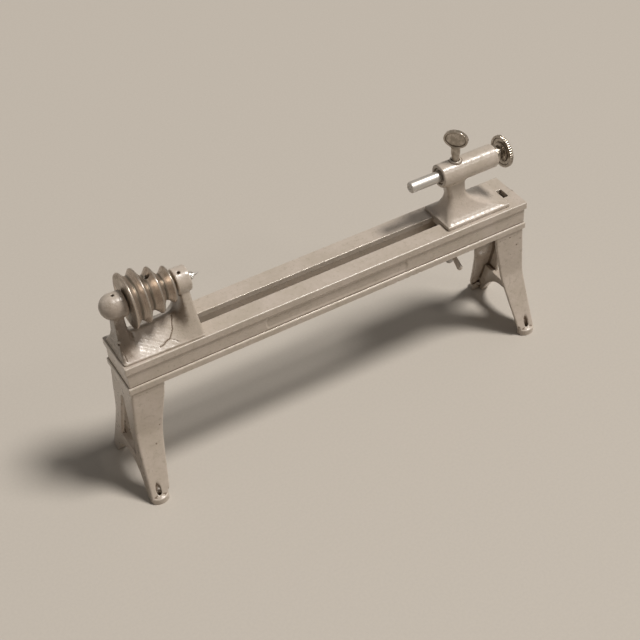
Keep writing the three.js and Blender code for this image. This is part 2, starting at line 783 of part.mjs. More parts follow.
function tailBody() {
  const ring = (share, z) => roundedPlan(
    [mix(tail.start, tail.columnStart, share), mix(tail.end, tail.columnEnd, share)],
    mix(tail.half, tail.columnHalf, share),
    mix(tail.baseCorner, tail.columnCorner, share),
  ).map(([x, y]) => [x, y, z]);
  const flare = steps(tail.flareSteps).map((share) =>
    ring(share, seatZ + mix(tail.edge, tail.flareTop, share ** tail.flarePower)));
  const column = steps(tail.leanSteps).slice(1).map((share) => roundedPlan(
    [tail.columnStart - tail.columnLean * share ** tail.leanPower, tail.columnEnd],
    tail.columnHalf, tail.columnCorner,
  ).map(([x, y]) => [x, y, mix(seatZ + tail.flareTop, axisZ, share)]));
  const body = loft([ring(0, seatZ), ...flare, ...column]);
  const barrel = turnedAlong([
    [tail.barrelStart, 0],
    [tail.barrelStart, tail.barrelRadius - tail.barrelBevel],
    [tail.barrelStart + tail.barrelBevel, tail.barrelRadius],
    [tail.barrelEnd - tail.barrelBevel, tail.barrelRadius],
    [tail.barrelEnd, tail.barrelRadius - tail.barrelBevel],
    [tail.barrelEnd, 0],
  ], flats.medium);
  const barrelTop = axisZ + tail.barrelRadius;
  const seat = rodUp(thumb.seatRadius, axisZ, barrelTop + thumb.seatHeight, flats.small, thumb.along, 0);
  const tongue = box(
    [tail.start, -tongueHalf, wayTop - tail.tongueDepth],
    [tail.end, tongueHalf, seatZ + fit.bury],
  );
  const mouth = rodAlong(
    tail.mouthRadius, tail.barrelStart - fit.overrun, tail.barrelStart + tail.mouthDepth, flats.medium,
  );
  const bore = rodAlong(
    quill.radius + fit.running, tail.barrelStart - fit.overrun, tail.barrelEnd - tail.endWall, flats.medium,
  );
  const neckBore = rodAlong(
    feed.neckRadius + fit.running, tail.barrelStart, tail.barrelEnd + fit.overrun, flats.medium,
  );
  const thumbHole = rodUp(
    thumb.radius + fit.running, axisZ, barrelTop + thumb.seatHeight + fit.overrun, flats.small, thumb.along, 0,
  );
  const dogHole = rodUp(dog.radius + fit.seat, dogTop - dog.length - fit.seat, axisZ, flats.tiny, dog.along, 0);
  const boltHole = rodUp(
    clamp.boltRadius + fit.seat, wayTop - tail.tongueDepth - fit.overrun, seatZ + clamp.boltBite + fit.seat,
    flats.small, 0, 0,
  );
  return cut(join(body, barrel, seat, tongue), mouth, bore, neckBore, thumbHole, dogHole, boltHole);
}

// Upper end of the dog that keeps the quill from turning
const dogTop = axisZ - quill.radius + quill.keyDepth - fit.running;

const dogBody = () => rodUp(dog.radius, dogTop - dog.length, dogTop, flats.tiny, dog.along, 0);

function quillBody() {
  const shank = turnedAlong([
    [quill.tip, 0],
    [quill.tip, quill.radius - quill.tipBevel],
    [quill.tip + quill.tipBevel, quill.radius],
    [quill.end, quill.radius],
    [quill.end, 0],
  ], flats.medium);
  const half = quill.keyWidth / 2;
  const keyway = box(
    [quill.keyStart, -half, axisZ - quill.radius - fit.overrun],
    [quill.end + fit.overrun, half, axisZ - quill.radius + quill.keyDepth],
  );
  const tapped = rodAlong(feed.radius + fit.running, quill.tapEnd, quill.end + fit.overrun, flats.small);
  const socket = rodAlong(
    cup.shankRadius + fit.seat, quill.tip - fit.overrun, quill.tip + cup.shankLength + fit.seat, flats.small,
  );
  return cut(shank, keyway, tapped, socket);
}

// Cup centre: a short plug whose face is hollow round a small point
function cupBody() {
  const face = quill.tip - fit.seat - cup.proud;
  return turnedAlong([
    [face + cup.proud, 0],
    [face, cup.pointRadius / 2],
    [face + cup.proud, cup.pointRadius],
    [face, cup.rimRadius - cup.proud],
    [quill.tip - fit.seat, cup.rimRadius],
    [quill.tip - fit.seat, cup.shankRadius],
    [quill.tip + cup.shankLength, cup.shankRadius],
    [quill.tip + cup.shankLength, 0],
  ], flats.small);
}

const wheelStart = tail.barrelEnd + fit.running + wheel.hubLength;
const hubEnd = wheelStart + wheel.width + wheel.hubBack;

function feedBody() {
  const collarEnd = tail.barrelEnd - tail.endWall - fit.running;
  return turnedAlong([
    [feed.start, 0],
    [feed.start, feed.radius - feed.chamfer],
    [feed.start + feed.chamfer, feed.radius],
    [collarEnd - feed.collarWidth, feed.radius],
    [collarEnd - feed.collarWidth, feed.collarRadius],
    [collarEnd, feed.collarRadius],
    [collarEnd, feed.neckRadius],
    [hubEnd - feed.chamfer, feed.neckRadius],
    [hubEnd, feed.neckRadius - feed.chamfer],
    [hubEnd, 0],
  ], flats.small).subtract(pinHole(wheel.pinRadius + fit.seat));
}

const hubStart = tail.barrelEnd + fit.running;
const collarMiddle = hubStart + wheel.collarLength / 2;

// Cross hole for the pin that holds the handwheel on the feed screw
function pinHole(radius) {
  return rodUp(radius, axisZ - wheel.radius, axisZ + wheel.radius, flats.tiny, collarMiddle, 0);
}

function pinBody() {
  const reach = wheel.collarRadius - fit.seat;
  return rodUp(wheel.pinRadius, axisZ - reach, axisZ + reach, flats.tiny, collarMiddle, 0);
}

function wheelBody() {
  const end = wheelStart + wheel.width;
  const inner = wheel.radius - wheel.rim;
  const blank = turnedAlong([
    [hubStart, 0],
    [hubStart, wheel.collarRadius - wheel.round],
    [hubStart + wheel.round, wheel.collarRadius],
    [hubStart + wheel.collarLength, wheel.collarRadius],
    [hubStart + wheel.collarLength + wheel.round, wheel.neckRadius],
    [wheelStart - wheel.ringWidth, wheel.neckRadius],
    [wheelStart - wheel.round, wheel.ringRadius - wheel.round],
    [wheelStart - wheel.round, wheel.ringRadius],
    [wheelStart + wheel.dish, wheel.ringRadius],
    [wheelStart + wheel.dish, inner - wheel.round],
    [wheelStart, inner],
    [wheelStart, wheel.radius - wheel.round],
    [wheelStart + wheel.round, wheel.radius],
    [end - wheel.round, wheel.radius],
    [end, wheel.radius - wheel.round],
    [end, inner],
    [end - wheel.dish, inner - wheel.round],
    [end - wheel.dish, wheel.hubRadius],
    [hubEnd - fit.running, wheel.hubRadius],
    [hubEnd - fit.running, 0],
  ], flats.large);
  const toothed = steps(wheel.teeth + wheel.teeth).slice(1).map((share, i) => {
    const radius = wheel.radius + fit.seat - (i % 2) * (wheel.toothDepth + fit.seat);
    return [radius * Math.cos(Math.PI * 2 * share), axisZ + radius * Math.sin(Math.PI * 2 * share)];
  });
  const knurl = plateAcross(toothed, tail.barrelEnd, hubEnd + fit.overrun);
  const bore = rodAlong(
    feed.neckRadius + fit.seat, tail.barrelEnd - fit.overrun, hubEnd + fit.overrun, flats.small,
  );
  return cut(blank.intersect(knurl), bore, pinHole(wheel.pinRadius + fit.seat));
}

// Oval ring of the thumb screw's head, at a distance in front of its middle and inside its edge
function headOval(forward, inset) {
  return steps(flats.medium).slice(1).map((share) => {
    const angle = Math.PI * 2 * share;
    const across = (thumb.headHalfWidth - inset) * Math.cos(angle);
    const up = (thumb.headHalfHeight - inset) * Math.sin(angle);
    return [across, forward, up + thumb.headCentre];
  });
}

function thumbBody() {
  const half = thumb.headThickness / 2;
  const spade = loft([
    headOval(-half, thumb.rimRound),
    headOval(-half + thumb.rimRound, 0),
    headOval(half - thumb.rimRound, 0),
    headOval(half, thumb.rimRound),
  ]);
  const dishes = [-1, 1].map((way) => loft([
    headOval(way * (half + fit.overrun), thumb.rimWidth),
    headOval(way * half, thumb.rimWidth),
    headOval(way * (half - thumb.dish), thumb.rimWidth + thumb.dish),
  ]));
  const neck = loft([[thumb.neckStart, thumb.radius], [thumb.headCentre, thumb.neckHalf]].map(([z, across]) =>
    [[-across, -half, z], [across, -half, z], [across, half, z], [-across, half, z]]));
  const shank = turned([
    [quill.radius + fit.running, 0],
    [quill.radius + fit.running, thumb.radius - thumb.chamfer],
    [quill.radius + fit.running + thumb.chamfer, thumb.radius],
    [thumb.neckStart, thumb.radius],
    [thumb.headCentre - thumb.headHalfHeight + thumb.rimWidth, half],
    [thumb.headCentre - thumb.headHalfHeight + thumb.rimWidth, 0],
  ], flats.small).rotateX(Math.PI / 2);
  const upright = join(solid(shank), cut(join(spade, neck), ...dishes));
  return upright.rotate([0, 0, thumb.turn]).translate([thumb.along, 0, axisZ]);
}

const plateTop = bedBottom - fit.seat;
const washerTop = plateTop - clamp.plateHeight - fit.seat;
const hubTop = washerTop - clamp.washerHeight - fit.seat;

function clampBoltBody() {
  return rodUp(
    clamp.boltRadius, bedBottom - clamp.boltBelow, seatZ + clamp.boltBite, flats.small, 0, 0,
  );
}

function clampPlateBody() {
  const reach = clamp.plateLength / 2;
  const half = bedHalf - clamp.plateInset;
  const guide = panelHalf - bed.wall - clamp.guideGap;
  const plate = box(
    [-reach, -half, plateTop - clamp.plateHeight],
    [reach, half, plateTop],
  );
  const upstand = box(
    [-reach, -guide, plateTop - fit.bury],
    [reach, guide, plateTop + clamp.guideHeight],
  );
  return cut(join(plate, upstand), clampHole(clamp.boltRadius + fit.running));
}

const clampHole = (radius) => rodUp(
  radius, bedBottom - clamp.boltBelow - fit.overrun, wayTop, flats.small, 0, 0,
);

function clampWasherBody() {
  const disc = rodUp(clamp.washerRadius, washerTop - clamp.washerHeight, washerTop, flats.small, 0, 0);
  return cut(disc, clampHole(clamp.boltRadius + fit.running));
}

function clampLeverBody() {
  const hub = rodUp(clamp.hubRadius, hubTop - clamp.hubHeight, hubTop, flats.small, 0, 0);
  const middle = new THREE.Vector3(0, 0, hubTop - clamp.hubHeight / 2);
  const reach = new THREE.Vector3(clamp.armAlong, clamp.armAcross, clamp.armDown);
  const arm = new THREE.CapsuleGeometry(clamp.armRadius, reach.length(), flats.cap, flats.tiny, 1);
  arm.translate(0, reach.length() / 2, 0);
  const turn = new THREE.Quaternion().setFromUnitVectors(
    new THREE.Vector3(0, 1, 0), reach.clone().normalize(),
  );
  arm.applyQuaternion(turn);
  arm.translate(...middle);
  return cut(join(hub, solid(arm)), clampHole(clamp.boltRadius + fit.running));
}

function headClampBody() {
  const top = wayUnder - fit.seat;
  const plate = box(
    [headClamp.start, -headClamp.half, top - headClamp.height],
    [headClamp.end, headClamp.half, top],
  );
  const holes = [headClamp.boltOuter, headClamp.boltInner].map((x) => rodUp(
    headClamp.boltRadius + fit.running, top - headClamp.height - fit.overrun, top + fit.overrun,
    flats.tiny, x, 0,
  ));
  return cut(plate, ...holes);
}

function headBoltBody(x) {
  const under = wayUnder - fit.seat - headClamp.height - fit.seat;
  const hex = rodUp(headClamp.hexRadius, under - headClamp.hexHeight, under, flats.hex, x, 0);
  const shank = rodUp(headClamp.boltRadius, under - fit.bury, seatZ + headClamp.bite, flats.tiny, x, 0);
  return join(hex, shank);
}

function legScrewBody([x, y]) {
  const under = leg.height - leg.topPlate - fit.seat;
  const headDisc = rodUp(legScrew.headRadius, under - legScrew.headHeight, under, flats.small, x, y);
  const shank = rodUp(
    legScrew.radius, under - fit.bury, bedBottom + legScrew.bite - fit.seat, flats.tiny, x, y,
  );
  const socket = rodUp(
    legScrew.socket, under - legScrew.headHeight - fit.overrun, under - legScrew.headHeight / 2,
    flats.hex, x, y,
  );
  return cut(join(headDisc, shank), socket);
}

const lathe = new THREE.Group();
lathe.position.x = -bed.length / 2;

// The tailstock and all that it carries slide together
const carriage = new THREE.Group();
carriage.position.x = bed.length - bed.slotEndWall - tail.home - tail.end;
lathe.add(carriage);

function add(name, body, material, group = lathe) {
  const mesh = new THREE.Mesh(geometryOf(body), material);
  mesh.name = name;
  group.add(mesh);
  return mesh;
}

add('bed', bedBody(), paint);
add('left_leg', legBody(), paint);
const rightLeg = add('right_leg', legBody(), paint);
rightLeg.rotation.z = Math.PI;
rightLeg.position.x = bed.length;
const screwNames = ['left_front', 'left_back', 'right_front', 'right_back'];
screwPlaces().forEach((place, i) => add(`leg_screw_${screwNames[i]}`, legScrewBody(place), steel));

add('headstock', headBody(), paint);
add('headstock_clamp_plate', headClampBody(), steel);
add('headstock_bolt_left', headBoltBody(headClamp.boltOuter), steel);
add('headstock_bolt_right', headBoltBody(headClamp.boltInner), steel);
add('left_bearing_bush', bushBody(bush.start + fit.seat, head.outerBarrelEnd, head.outerOil, 0), bronze);
add(
  'right_bearing_bush',
  bushBody(head.innerBarrelStart, head.innerBarrelEnd, head.innerOil, head.innerOilLean),
  bronze,
);
add('thrust_ball', ballBody(), steel);
add('spindle', spindleBody(), steel);
add('cone_pulley', pulleyBody(), darkSteel);
add('pulley_set_screw', grubBody(), darkSteel);
add('spur_centre', spurBody(), steel);

add('tailstock', tailBody(), paint, carriage);
add('quill_dog', dogBody(), steel, carriage);
add('quill', quillBody(), steel, carriage);
add('cup_centre', cupBody(), steel, carriage);
add('feed_screw', feedBody(), steel, carriage);
add('handwheel', wheelBody(), nickel, carriage);
add('handwheel_pin', pinBody(), steel, carriage);
add('thumb_screw', thumbBody(), nickel, carriage);
add('tailstock_clamp_bolt', clampBoltBody(), steel, carriage);
add('tailstock_clamp_plate', clampPlateBody(), darkSteel, carriage);
add('tailstock_clamp_washer', clampWasherBody(), steel, carriage);
add('clamp_lever', clampLeverBody(), paint, carriage);

export default lathe;
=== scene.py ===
"""A small bench lathe: the looks of its castings, turned pieces and screws round the fixed frame.

Shapes are worked out in millimetres. x runs from the bed's left end, y across the bed and z up from
the bench. The tailstock's pieces count x from the axis of its clamp bolt. Turned pieces and the bed
are profiles carried along a path. The castings are skins of distance functions, each a number below
nought inside the shape and above it outside.
"""

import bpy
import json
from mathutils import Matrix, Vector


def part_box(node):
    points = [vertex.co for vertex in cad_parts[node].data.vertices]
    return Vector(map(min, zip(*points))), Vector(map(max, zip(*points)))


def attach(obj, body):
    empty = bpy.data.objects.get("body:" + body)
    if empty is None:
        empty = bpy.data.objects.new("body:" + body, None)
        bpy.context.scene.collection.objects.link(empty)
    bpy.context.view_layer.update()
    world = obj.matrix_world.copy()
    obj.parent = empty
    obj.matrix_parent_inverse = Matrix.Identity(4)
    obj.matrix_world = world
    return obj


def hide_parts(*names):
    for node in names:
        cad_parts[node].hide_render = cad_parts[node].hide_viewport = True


bl_info = {
    "name": "Bench lathe",
    "version": (1, 0, 0),
    "blender": (4, 5, 0),
    "location": "3D View > Sidebar > Lathe",
    "description": "Builds the visible pieces of a small bench lathe round its frame",
    "category": "Add Mesh",
}

import json
import math

import bmesh
import bpy
import numpy as np
from bpy.props import FloatProperty, FloatVectorProperty, PointerProperty
from bpy.types import Operator, Panel, PropertyGroup
from mathutils import Matrix, Vector

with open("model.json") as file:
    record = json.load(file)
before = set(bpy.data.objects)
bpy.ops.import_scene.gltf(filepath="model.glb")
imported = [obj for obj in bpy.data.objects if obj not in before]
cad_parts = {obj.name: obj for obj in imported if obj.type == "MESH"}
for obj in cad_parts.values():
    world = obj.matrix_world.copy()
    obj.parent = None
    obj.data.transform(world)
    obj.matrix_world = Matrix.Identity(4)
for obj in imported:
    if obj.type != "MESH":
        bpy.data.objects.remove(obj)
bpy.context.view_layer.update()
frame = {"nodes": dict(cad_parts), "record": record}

MM = 1000.0


def box_mm(node):
    """Lowest and highest corner of a node in millimetres, x still from the middle of the bed."""
    low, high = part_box(node)
    return np.array(low) * MM, np.array(high) * MM


BED_LOW, BED_HIGH = box_mm("bed")
LENGTH = BED_HIGH[0] - BED_LOW[0]
HALF = BED_HIGH[1]
BED_BOTTOM, WAY_TOP = BED_LOW[2], BED_HIGH[2]
WAY_UNDER = WAY_TOP - 5.0

# The sunk side panels lie between a flange at the bottom and a lip at the top
FLANGE_TOP, LIP_UNDER = BED_BOTTOM + 6.5, WAY_TOP - 7.0
PANEL_HALF = HALF - 1.3

# The slot between the ways, how far in from the bed's ends it stops, and the tongues that fit it
SLOT_HALF, SLOT_IN, TONGUE_HALF = 6.0, 8.4, 5.7

# Clearance between stacked castings, and the height of the turning axis over the seat
GAP = 0.1
SEAT = WAY_TOP + GAP
CENTRE_HEIGHT = 48.2
AXIS = SEAT + CENTRE_HEIGHT

# The legs' screws stand this far in from the bed's ends and off its middle
LEG_TOP = BED_BOTTOM - GAP
SCREW_IN, SCREW_ACROSS = 18.0, HALF - 9.5

# At rest the tailstock's tongue ends a little short of the slot's end
TAIL_TONGUE = (-15.2, 51.8)
CARRIAGE = LENGTH - SLOT_IN - 8.2 - TAIL_TONGUE[1]

# The thumb screw's axis from the clamp bolt's, and the holes' radius for that bolt
THUMB_SCREW, BOLT_HOLE = 3.4, 3.7


def meet(a, b, radius=0.0):
    """Inside both shapes: the larger distance, with the edge between them rounded to the radius."""
    if not radius:
        return np.maximum(a, b)
    corner = np.hypot(np.maximum(a + radius, 0), np.maximum(b + radius, 0))
    return np.minimum(np.maximum(a, b), -radius) + corner


def join(a, b, radius=0.0):
    """Inside either shape: the smaller distance, with a fillet of the radius in the corner."""
    if not radius:
        return np.minimum(a, b)
    corner = np.hypot(np.maximum(radius - a, 0), np.maximum(radius - b, 0))
    return np.maximum(np.minimum(a, b), radius) - corner


def carve(a, b, radius=0.0):
    """The first shape without the second, the new edge rounded."""
    return meet(a, -b, radius)


def span(value, start, end):
    """Distance outside a stretch from start to end."""
    return np.abs(value - (start + end) / 2) - (end - start) / 2


def rod(across, up, along, radius, start, end, edge=0.0):
    """Round bar: distance from its axis less its radius, met with its two ends."""
    return meet(np.hypot(across, up) - radius, span(along, start, end), edge)


def block(x, ends, y, half, z, heights, corner, edge):
    """Upright block: a stretch of x met with a half width in y, then with a stretch of z."""
    plan = meet(span(x, *ends), np.abs(y) - half, corner)
    return meet(plan, span(z, *heights), edge)


def leaned(y, up, degrees):
    """A place across and above the axis, turned round it: what leans to the front comes upright."""
    lean = math.radians(degrees)
    across = y * math.cos(lean) + up * math.sin(lean)
    return across, up * math.cos(lean) - y * math.sin(lean)


def groove(points, path, radius):
    """Distance to a line through the path's points, less the radius, stretch by stretch."""
    nearest = np.full(points.shape[:-1], 1e3)
    for start, end in zip(path[:-1], path[1:]):
        start, way = np.array(start, float), np.array(end, float) - start
        share = np.clip(((points - start) @ way) / (way @ way), 0, 1)
        gap = points - start - share[..., None] * way
        nearest = np.minimum(nearest, np.sqrt((gap * gap).sum(-1)))
    return nearest - radius


def evened(value, *slopes):
    """A height difference made a distance: divided by the length of its slope."""
    total = 1.0
    for slope in slopes:
        total = total + slope * slope
    return value / np.sqrt(total)


def slope_of(shape, value, nudge=0.1):
    """How fast a function changes: the difference a little above and below the value, shared out."""
    return (shape(value + nudge) - shape(value - nudge)) / (2 * nudge)


def unevenness(points, depth):
    """Low waves of a sand casting: three products of sines of different lengths, 12 mm at most."""
    x, y, z = np.moveaxis(points, -1, 0)
    broad = np.sin(0.53 * x + 1.3) * np.sin(0.61 * y - 0.4) * np.sin(0.57 * z + 2.1)
    middle = np.sin(1.17 * x - 0.8 + 0.5 * y) * np.sin(1.31 * z + 0.7 * y + 0.2)
    small = np.sin(2.3 * x + 1.1 * z) * np.sin(2.6 * y - 0.9 * z + 1.0) * np.sin(2.1 * z + 0.4)
    return depth * (0.5 * broad + 0.3 * middle + 0.2 * small)


def skin(field, low, high, step):
    """Closed surface where the distance is nought.

    The distance is worked out on a grid. Each cell that the surface passes through gets one point,
    the mean of the places where the cell's edges change sign. Each edge that changes sign gets a
    four-sided face between the points of its four cells. The points then move along the slope onto
    the surface.
    """
    low = np.array(low, float)
    count = np.ceil((np.array(high, float) - low) / step).astype(int) + 1
    lines = [low[k] + step * np.arange(count[k]) for k in range(3)]
    grid = np.stack(np.meshgrid(*lines, indexing="ij"), -1)
    value = field(grid)
    inside = value < 0
    cells = int(np.prod(count))
    strides = np.array([count[1] * count[2], count[2], 1])
    total = np.zeros((cells, 3))
    hits = np.zeros(cells)
    faces = []
    for axis in range(3):
        second, third = (axis + 1) % 3, (axis + 2) % 3
        near = [slice(None)] * 3
        far = [slice(None)] * 3
        near[axis], far[axis] = slice(0, -1), slice(1, None)
        near, far = tuple(near), tuple(far)
        change = np.argwhere(inside[near] != inside[far])
        flat = change @ strides
        v0 = value.ravel()[flat]
        v1 = value.ravel()[flat + strides[axis]]
        places = low + step * change
        places[:, axis] += step * v0 / (v0 - v1)
        around = [(-1, -1), (0, -1), (0, 0), (-1, 0)]
        corners = np.stack([flat + a * strides[second] + b * strides[third] for a, b in around], 1)
        for k in range(4):
            hits += np.bincount(corners[:, k], minlength=cells)
            for m in range(3):
                total[:, m] += np.bincount(corners[:, k], places[:, m], cells)
        leaving = v0 < v1
        faces.append(np.where(leaving[:, None], corners, corners[:, ::-1]))
    used = np.flatnonzero(hits)
    number = np.zeros(cells, int)
    number[used] = np.arange(len(used))
    points = total[used] / hits[used, None]
    reach, least_slope, longest_move = 0.04, 0.05, 0.35 * step
    for _ in range(3):
        slope = np.stack([
            (field(points + reach * axis) - field(points - reach * axis)) / (2 * reach)
            for axis in np.eye(3)
        ], -1)
        length = np.maximum((slope * slope).sum(-1), least_slope)
        move = field(points)[:, None] * slope / length[:, None]
        size = np.sqrt((move * move).sum(-1))[:, None]
        points = points - move * np.minimum(1, longest_move / np.maximum(size, 1e-9))
    return points, number[np.concatenate(faces)]


def rounded(corners, longest, closed=False, arc=4):
    """A line through corners, each corner replaced by a curve that starts its radius before it.

    The last column of a row is that corner's radius. Stretches are cut so that none is longer than
    longest.
    """
    corners = np.asarray(corners, float)
    places, radius = corners[:, :-1], corners[:, -1]
    last = len(places) - 1
    line = []
    for k, place in enumerate(places):
        if not closed and k in (0, last) or radius[k] <= 0:
            line.append(place)
            continue
        back, ahead = places[k - 1] - place, places[(k + 1) % len(places)] - place
        lengths = np.linalg.norm(back), np.linalg.norm(ahead)
        reach = min(radius[k], 0.45 * lengths[0], 0.45 * lengths[1])
        start, end = place + back * reach / lengths[0], place + ahead * reach / lengths[1]
        share = np.linspace(0, 1, arc + 1)[:, None]
        line.extend((1 - share) ** 2 * start + 2 * share * (1 - share) * place + share ** 2 * end)
    line = np.array(line)
    ends = np.roll(line, -1, 0) if closed else line[1:]
    starts = line if closed else line[:-1]
    cuts = np.maximum(1, np.ceil(np.linalg.norm(ends - starts, axis=1) / longest)).astype(int)
    parts = [a + (b - a) * np.arange(n)[:, None] / n for a, b, n in zip(starts, ends, cuts)]
    if not closed:
        parts.append(line[-1:])
    return np.concatenate(parts)


def grid_faces(rows, columns, rows_close=False, columns_close=True):
    """Four-sided faces of a grid of points, rows along the profile and columns along the path."""
    i = np.arange(rows if rows_close else rows - 1)[:, None]
    j = np.arange(columns if columns_close else columns - 1)[None, :]
    here, below, beside = i * columns, (i + 1) % rows * columns, (j + 1) % columns
    return np.stack([here + j, below + j, below + beside, here + beside], -1).reshape(-1, 4)


def turned(profile, angles, axis=AXIS, closed=False):
    """Profile of places along the axis and radii, carried round it.

    y is the radius times the angle's sine, z the axis plus the radius times its cosine. A profile
    that starts and ends on the axis is closed by one point at each end. A closed one is a ring.
    """
    angles = np.linspace(0, 2 * math.pi, angles, endpoint=False) if np.isscalar(angles) else angles
    columns = len(angles)
    x, r = profile[:, :1], profile[:, 1:2]
    points = np.stack([x + 0 * angles, r * np.sin(angles), axis + r * np.cos(angles)], -1)
    if closed:
        return points.reshape(-1, 3), grid_faces(len(profile), columns, rows_close=True), None
    inner = points[1:-1].reshape(-1, 3)
    poles = np.array([[profile[0, 0], 0, axis], [profile[-1, 0], 0, axis]])
    quads = grid_faces(len(profile) - 2, columns)
    here = np.arange(columns)
    beside = (here + 1) % columns
    first, final = len(inner), len(inner) + 1
    top = (len(profile) - 3) * columns
    triangles = np.concatenate([
        np.stack([np.full(columns, first), here, beside], -1),
        np.stack([top + here, np.full(columns, final), top + beside], -1),
    ])
    return np.concatenate([inner, poles]), quads, triangles


def soft_step(value, start, end):
    """Smooth rise from 0 at start to 1 at end."""
    share = np.clip((value - start) / (end - start), 0, 1)
    return share * share * (3 - 2 * share)


def mark_edges(mesh, rounds):
    """Point attribute "edge": how fast the surface turns, per millimetre.

    Along each mesh edge the change of the normal is divided by the edge's length. It is above
    nought where the surface bends outwards and below it in corners. The mean at a point is then
    shared out among its neighbours, over and over.
    """
    count = len(mesh.vertices)
    places = np.empty(count * 3)
    normals = np.empty(count * 3)
    ends = np.empty(len(mesh.edges) * 2, int)
    mesh.vertices.foreach_get("co", places)
    mesh.vertex_normals.foreach_get("vector", normals)
    mesh.edges.foreach_get("vertices", ends)
    places, normals, ends = places.reshape(-1, 3) * MM, normals.reshape(-1, 3), ends.reshape(-1, 2)
    a, b = ends.T
    way = places[b] - places[a]
    turn = ((normals[b] - normals[a]) * way).sum(1) / np.maximum((way * way).sum(1), 1e-6)
    neighbours = np.maximum(np.bincount(a, minlength=count) + np.bincount(b, minlength=count), 1)
    bend = (np.bincount(a, turn, count) + np.bincount(b, turn, count)) / neighbours
    for _ in range(rounds):
        shared = np.bincount(a, bend[b], count) + np.bincount(b, bend[a], count)
        bend = 0.4 * bend + 0.6 * shared / neighbours
    attribute = mesh.attributes.new("edge", "FLOAT", "POINT")
    attribute.data.foreach_set("value", np.clip(bend, -2, 2).astype(np.float32))


def add_piece(name, shape, finish, body, nodes, along=0.0, rounds=2, crisp=None):
    """Mesh from points in millimetres, placed in the frame's metres, then carried by its body."""
    points, quads = shape[0], shape[1]
    triangles = shape[2] if len(shape) > 2 and shape[2] is not None else np.zeros((0, 3), int)
    places = (points + (along - LENGTH / 2, 0, 0)) / MM
    mesh = bpy.data.meshes.new(name)
    mesh.vertices.add(len(places))
    mesh.vertices.foreach_set("co", places.astype(np.float32).ravel())
    corners = np.concatenate([quads.ravel(), triangles.ravel()])
    mesh.loops.add(len(corners))
    mesh.loops.foreach_set("vertex_index", corners.astype(np.int32))
    starts = np.concatenate([
        4 * np.arange(len(quads)),
        4 * len(quads) + 3 * np.arange(len(triangles)),
    ])
    mesh.polygons.add(len(starts))
    mesh.polygons.foreach_set("loop_start", starts.astype(np.int32))
    mesh.update(calc_edges=True)
    if mesh.validate():
        raise RuntimeError(f"{name}: the faces don't make a sound mesh")
    mesh.polygons.foreach_set("use_smooth", np.ones(len(starts), bool))
    if crisp:
        mesh.set_sharp_from_angle(angle=math.radians(crisp))
    mark_edges(mesh, rounds)
    return carry(name, mesh, finish, body, nodes)


def carry(name, mesh, finish, body, nodes):
    """Object for a mesh, with its body and finish. The nodes it replaces get the finish too."""
    piece = bpy.data.objects.new(name, mesh)
    bpy.context.scene.collection.objects.link(piece)
    mesh.materials.append(finish)
    for node in nodes:
        for place in frame["nodes"][node].material_slots:
            place.material = finish
    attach(piece, body)
    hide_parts(*nodes)
    return piece


def softened(node, finish, body, width):
    """A node's own mesh, merged, with its flat triangles joined and its sharp edges bevelled."""
    flat, corner, crease = (math.radians(degrees) for degrees in (2, 35, 32))
    mesh = bpy.data.meshes.new(node + "_soft")
    work = bmesh.new()
    work.from_mesh(frame["nodes"][node].data)
    bmesh.ops.remove_doubles(work, verts=work.verts, dist=1e-6)
    bmesh.ops.dissolve_limit(work, angle_limit=flat, verts=work.verts, edges=work.edges)
    sharp = [e for e in work.edges if len(e.link_faces) == 2 and e.calc_face_angle() > corner]
    bmesh.ops.bevel(work, geom=sharp, offset=width / MM, segments=2, profile=0.6,
                    affect="EDGES", clamp_overlap=True)
    bmesh.ops.triangulate(work, faces=work.faces)
    bmesh.ops.recalc_face_normals(work, faces=work.faces)
    work.to_mesh(mesh)
    work.free()
    mesh.polygons.foreach_set("use_smooth", np.ones(len(mesh.polygons), bool))
    mesh.set_sharp_from_angle(angle=crease)
    mark_edges(mesh, 1)
    return carry(node + "_soft", mesh, finish, body, [node])


class Signal:
    """A number on its way through a finish. Arithmetic on it adds Math nodes."""

    def __init__(self, finish, socket):
        self.finish = finish
        self.socket = socket

    def math(self, operation, first, second):
        return self.finish.node("ShaderNodeMath", {"operation": operation}, {0: first, 1: second})

    def __add__(self, other):
        return self.math("ADD", self, other)

    def __radd__(self, other):
        return self.math("ADD", other, self)

    def __sub__(self, other):
        return self.math("SUBTRACT", self, other)

    def __rsub__(self, other):
        return self.math("SUBTRACT", other, self)

    def __mul__(self, other):
        return self.math("MULTIPLY", self, other)

    def __rmul__(self, other):
        return self.math("MULTIPLY", other, self)

    def __truediv__(self, other):
        return self.math("DIVIDE", self, other)

    def __rtruediv__(self, other):
        return self.math("DIVIDE", other, self)

    def __pow__(self, other):
        return self.math("POWER", self, other)

    def __rpow__(self, other):
        return self.math("POWER", other, self)

    def at_least(self, other):
        return self.math("MAXIMUM", self, other)


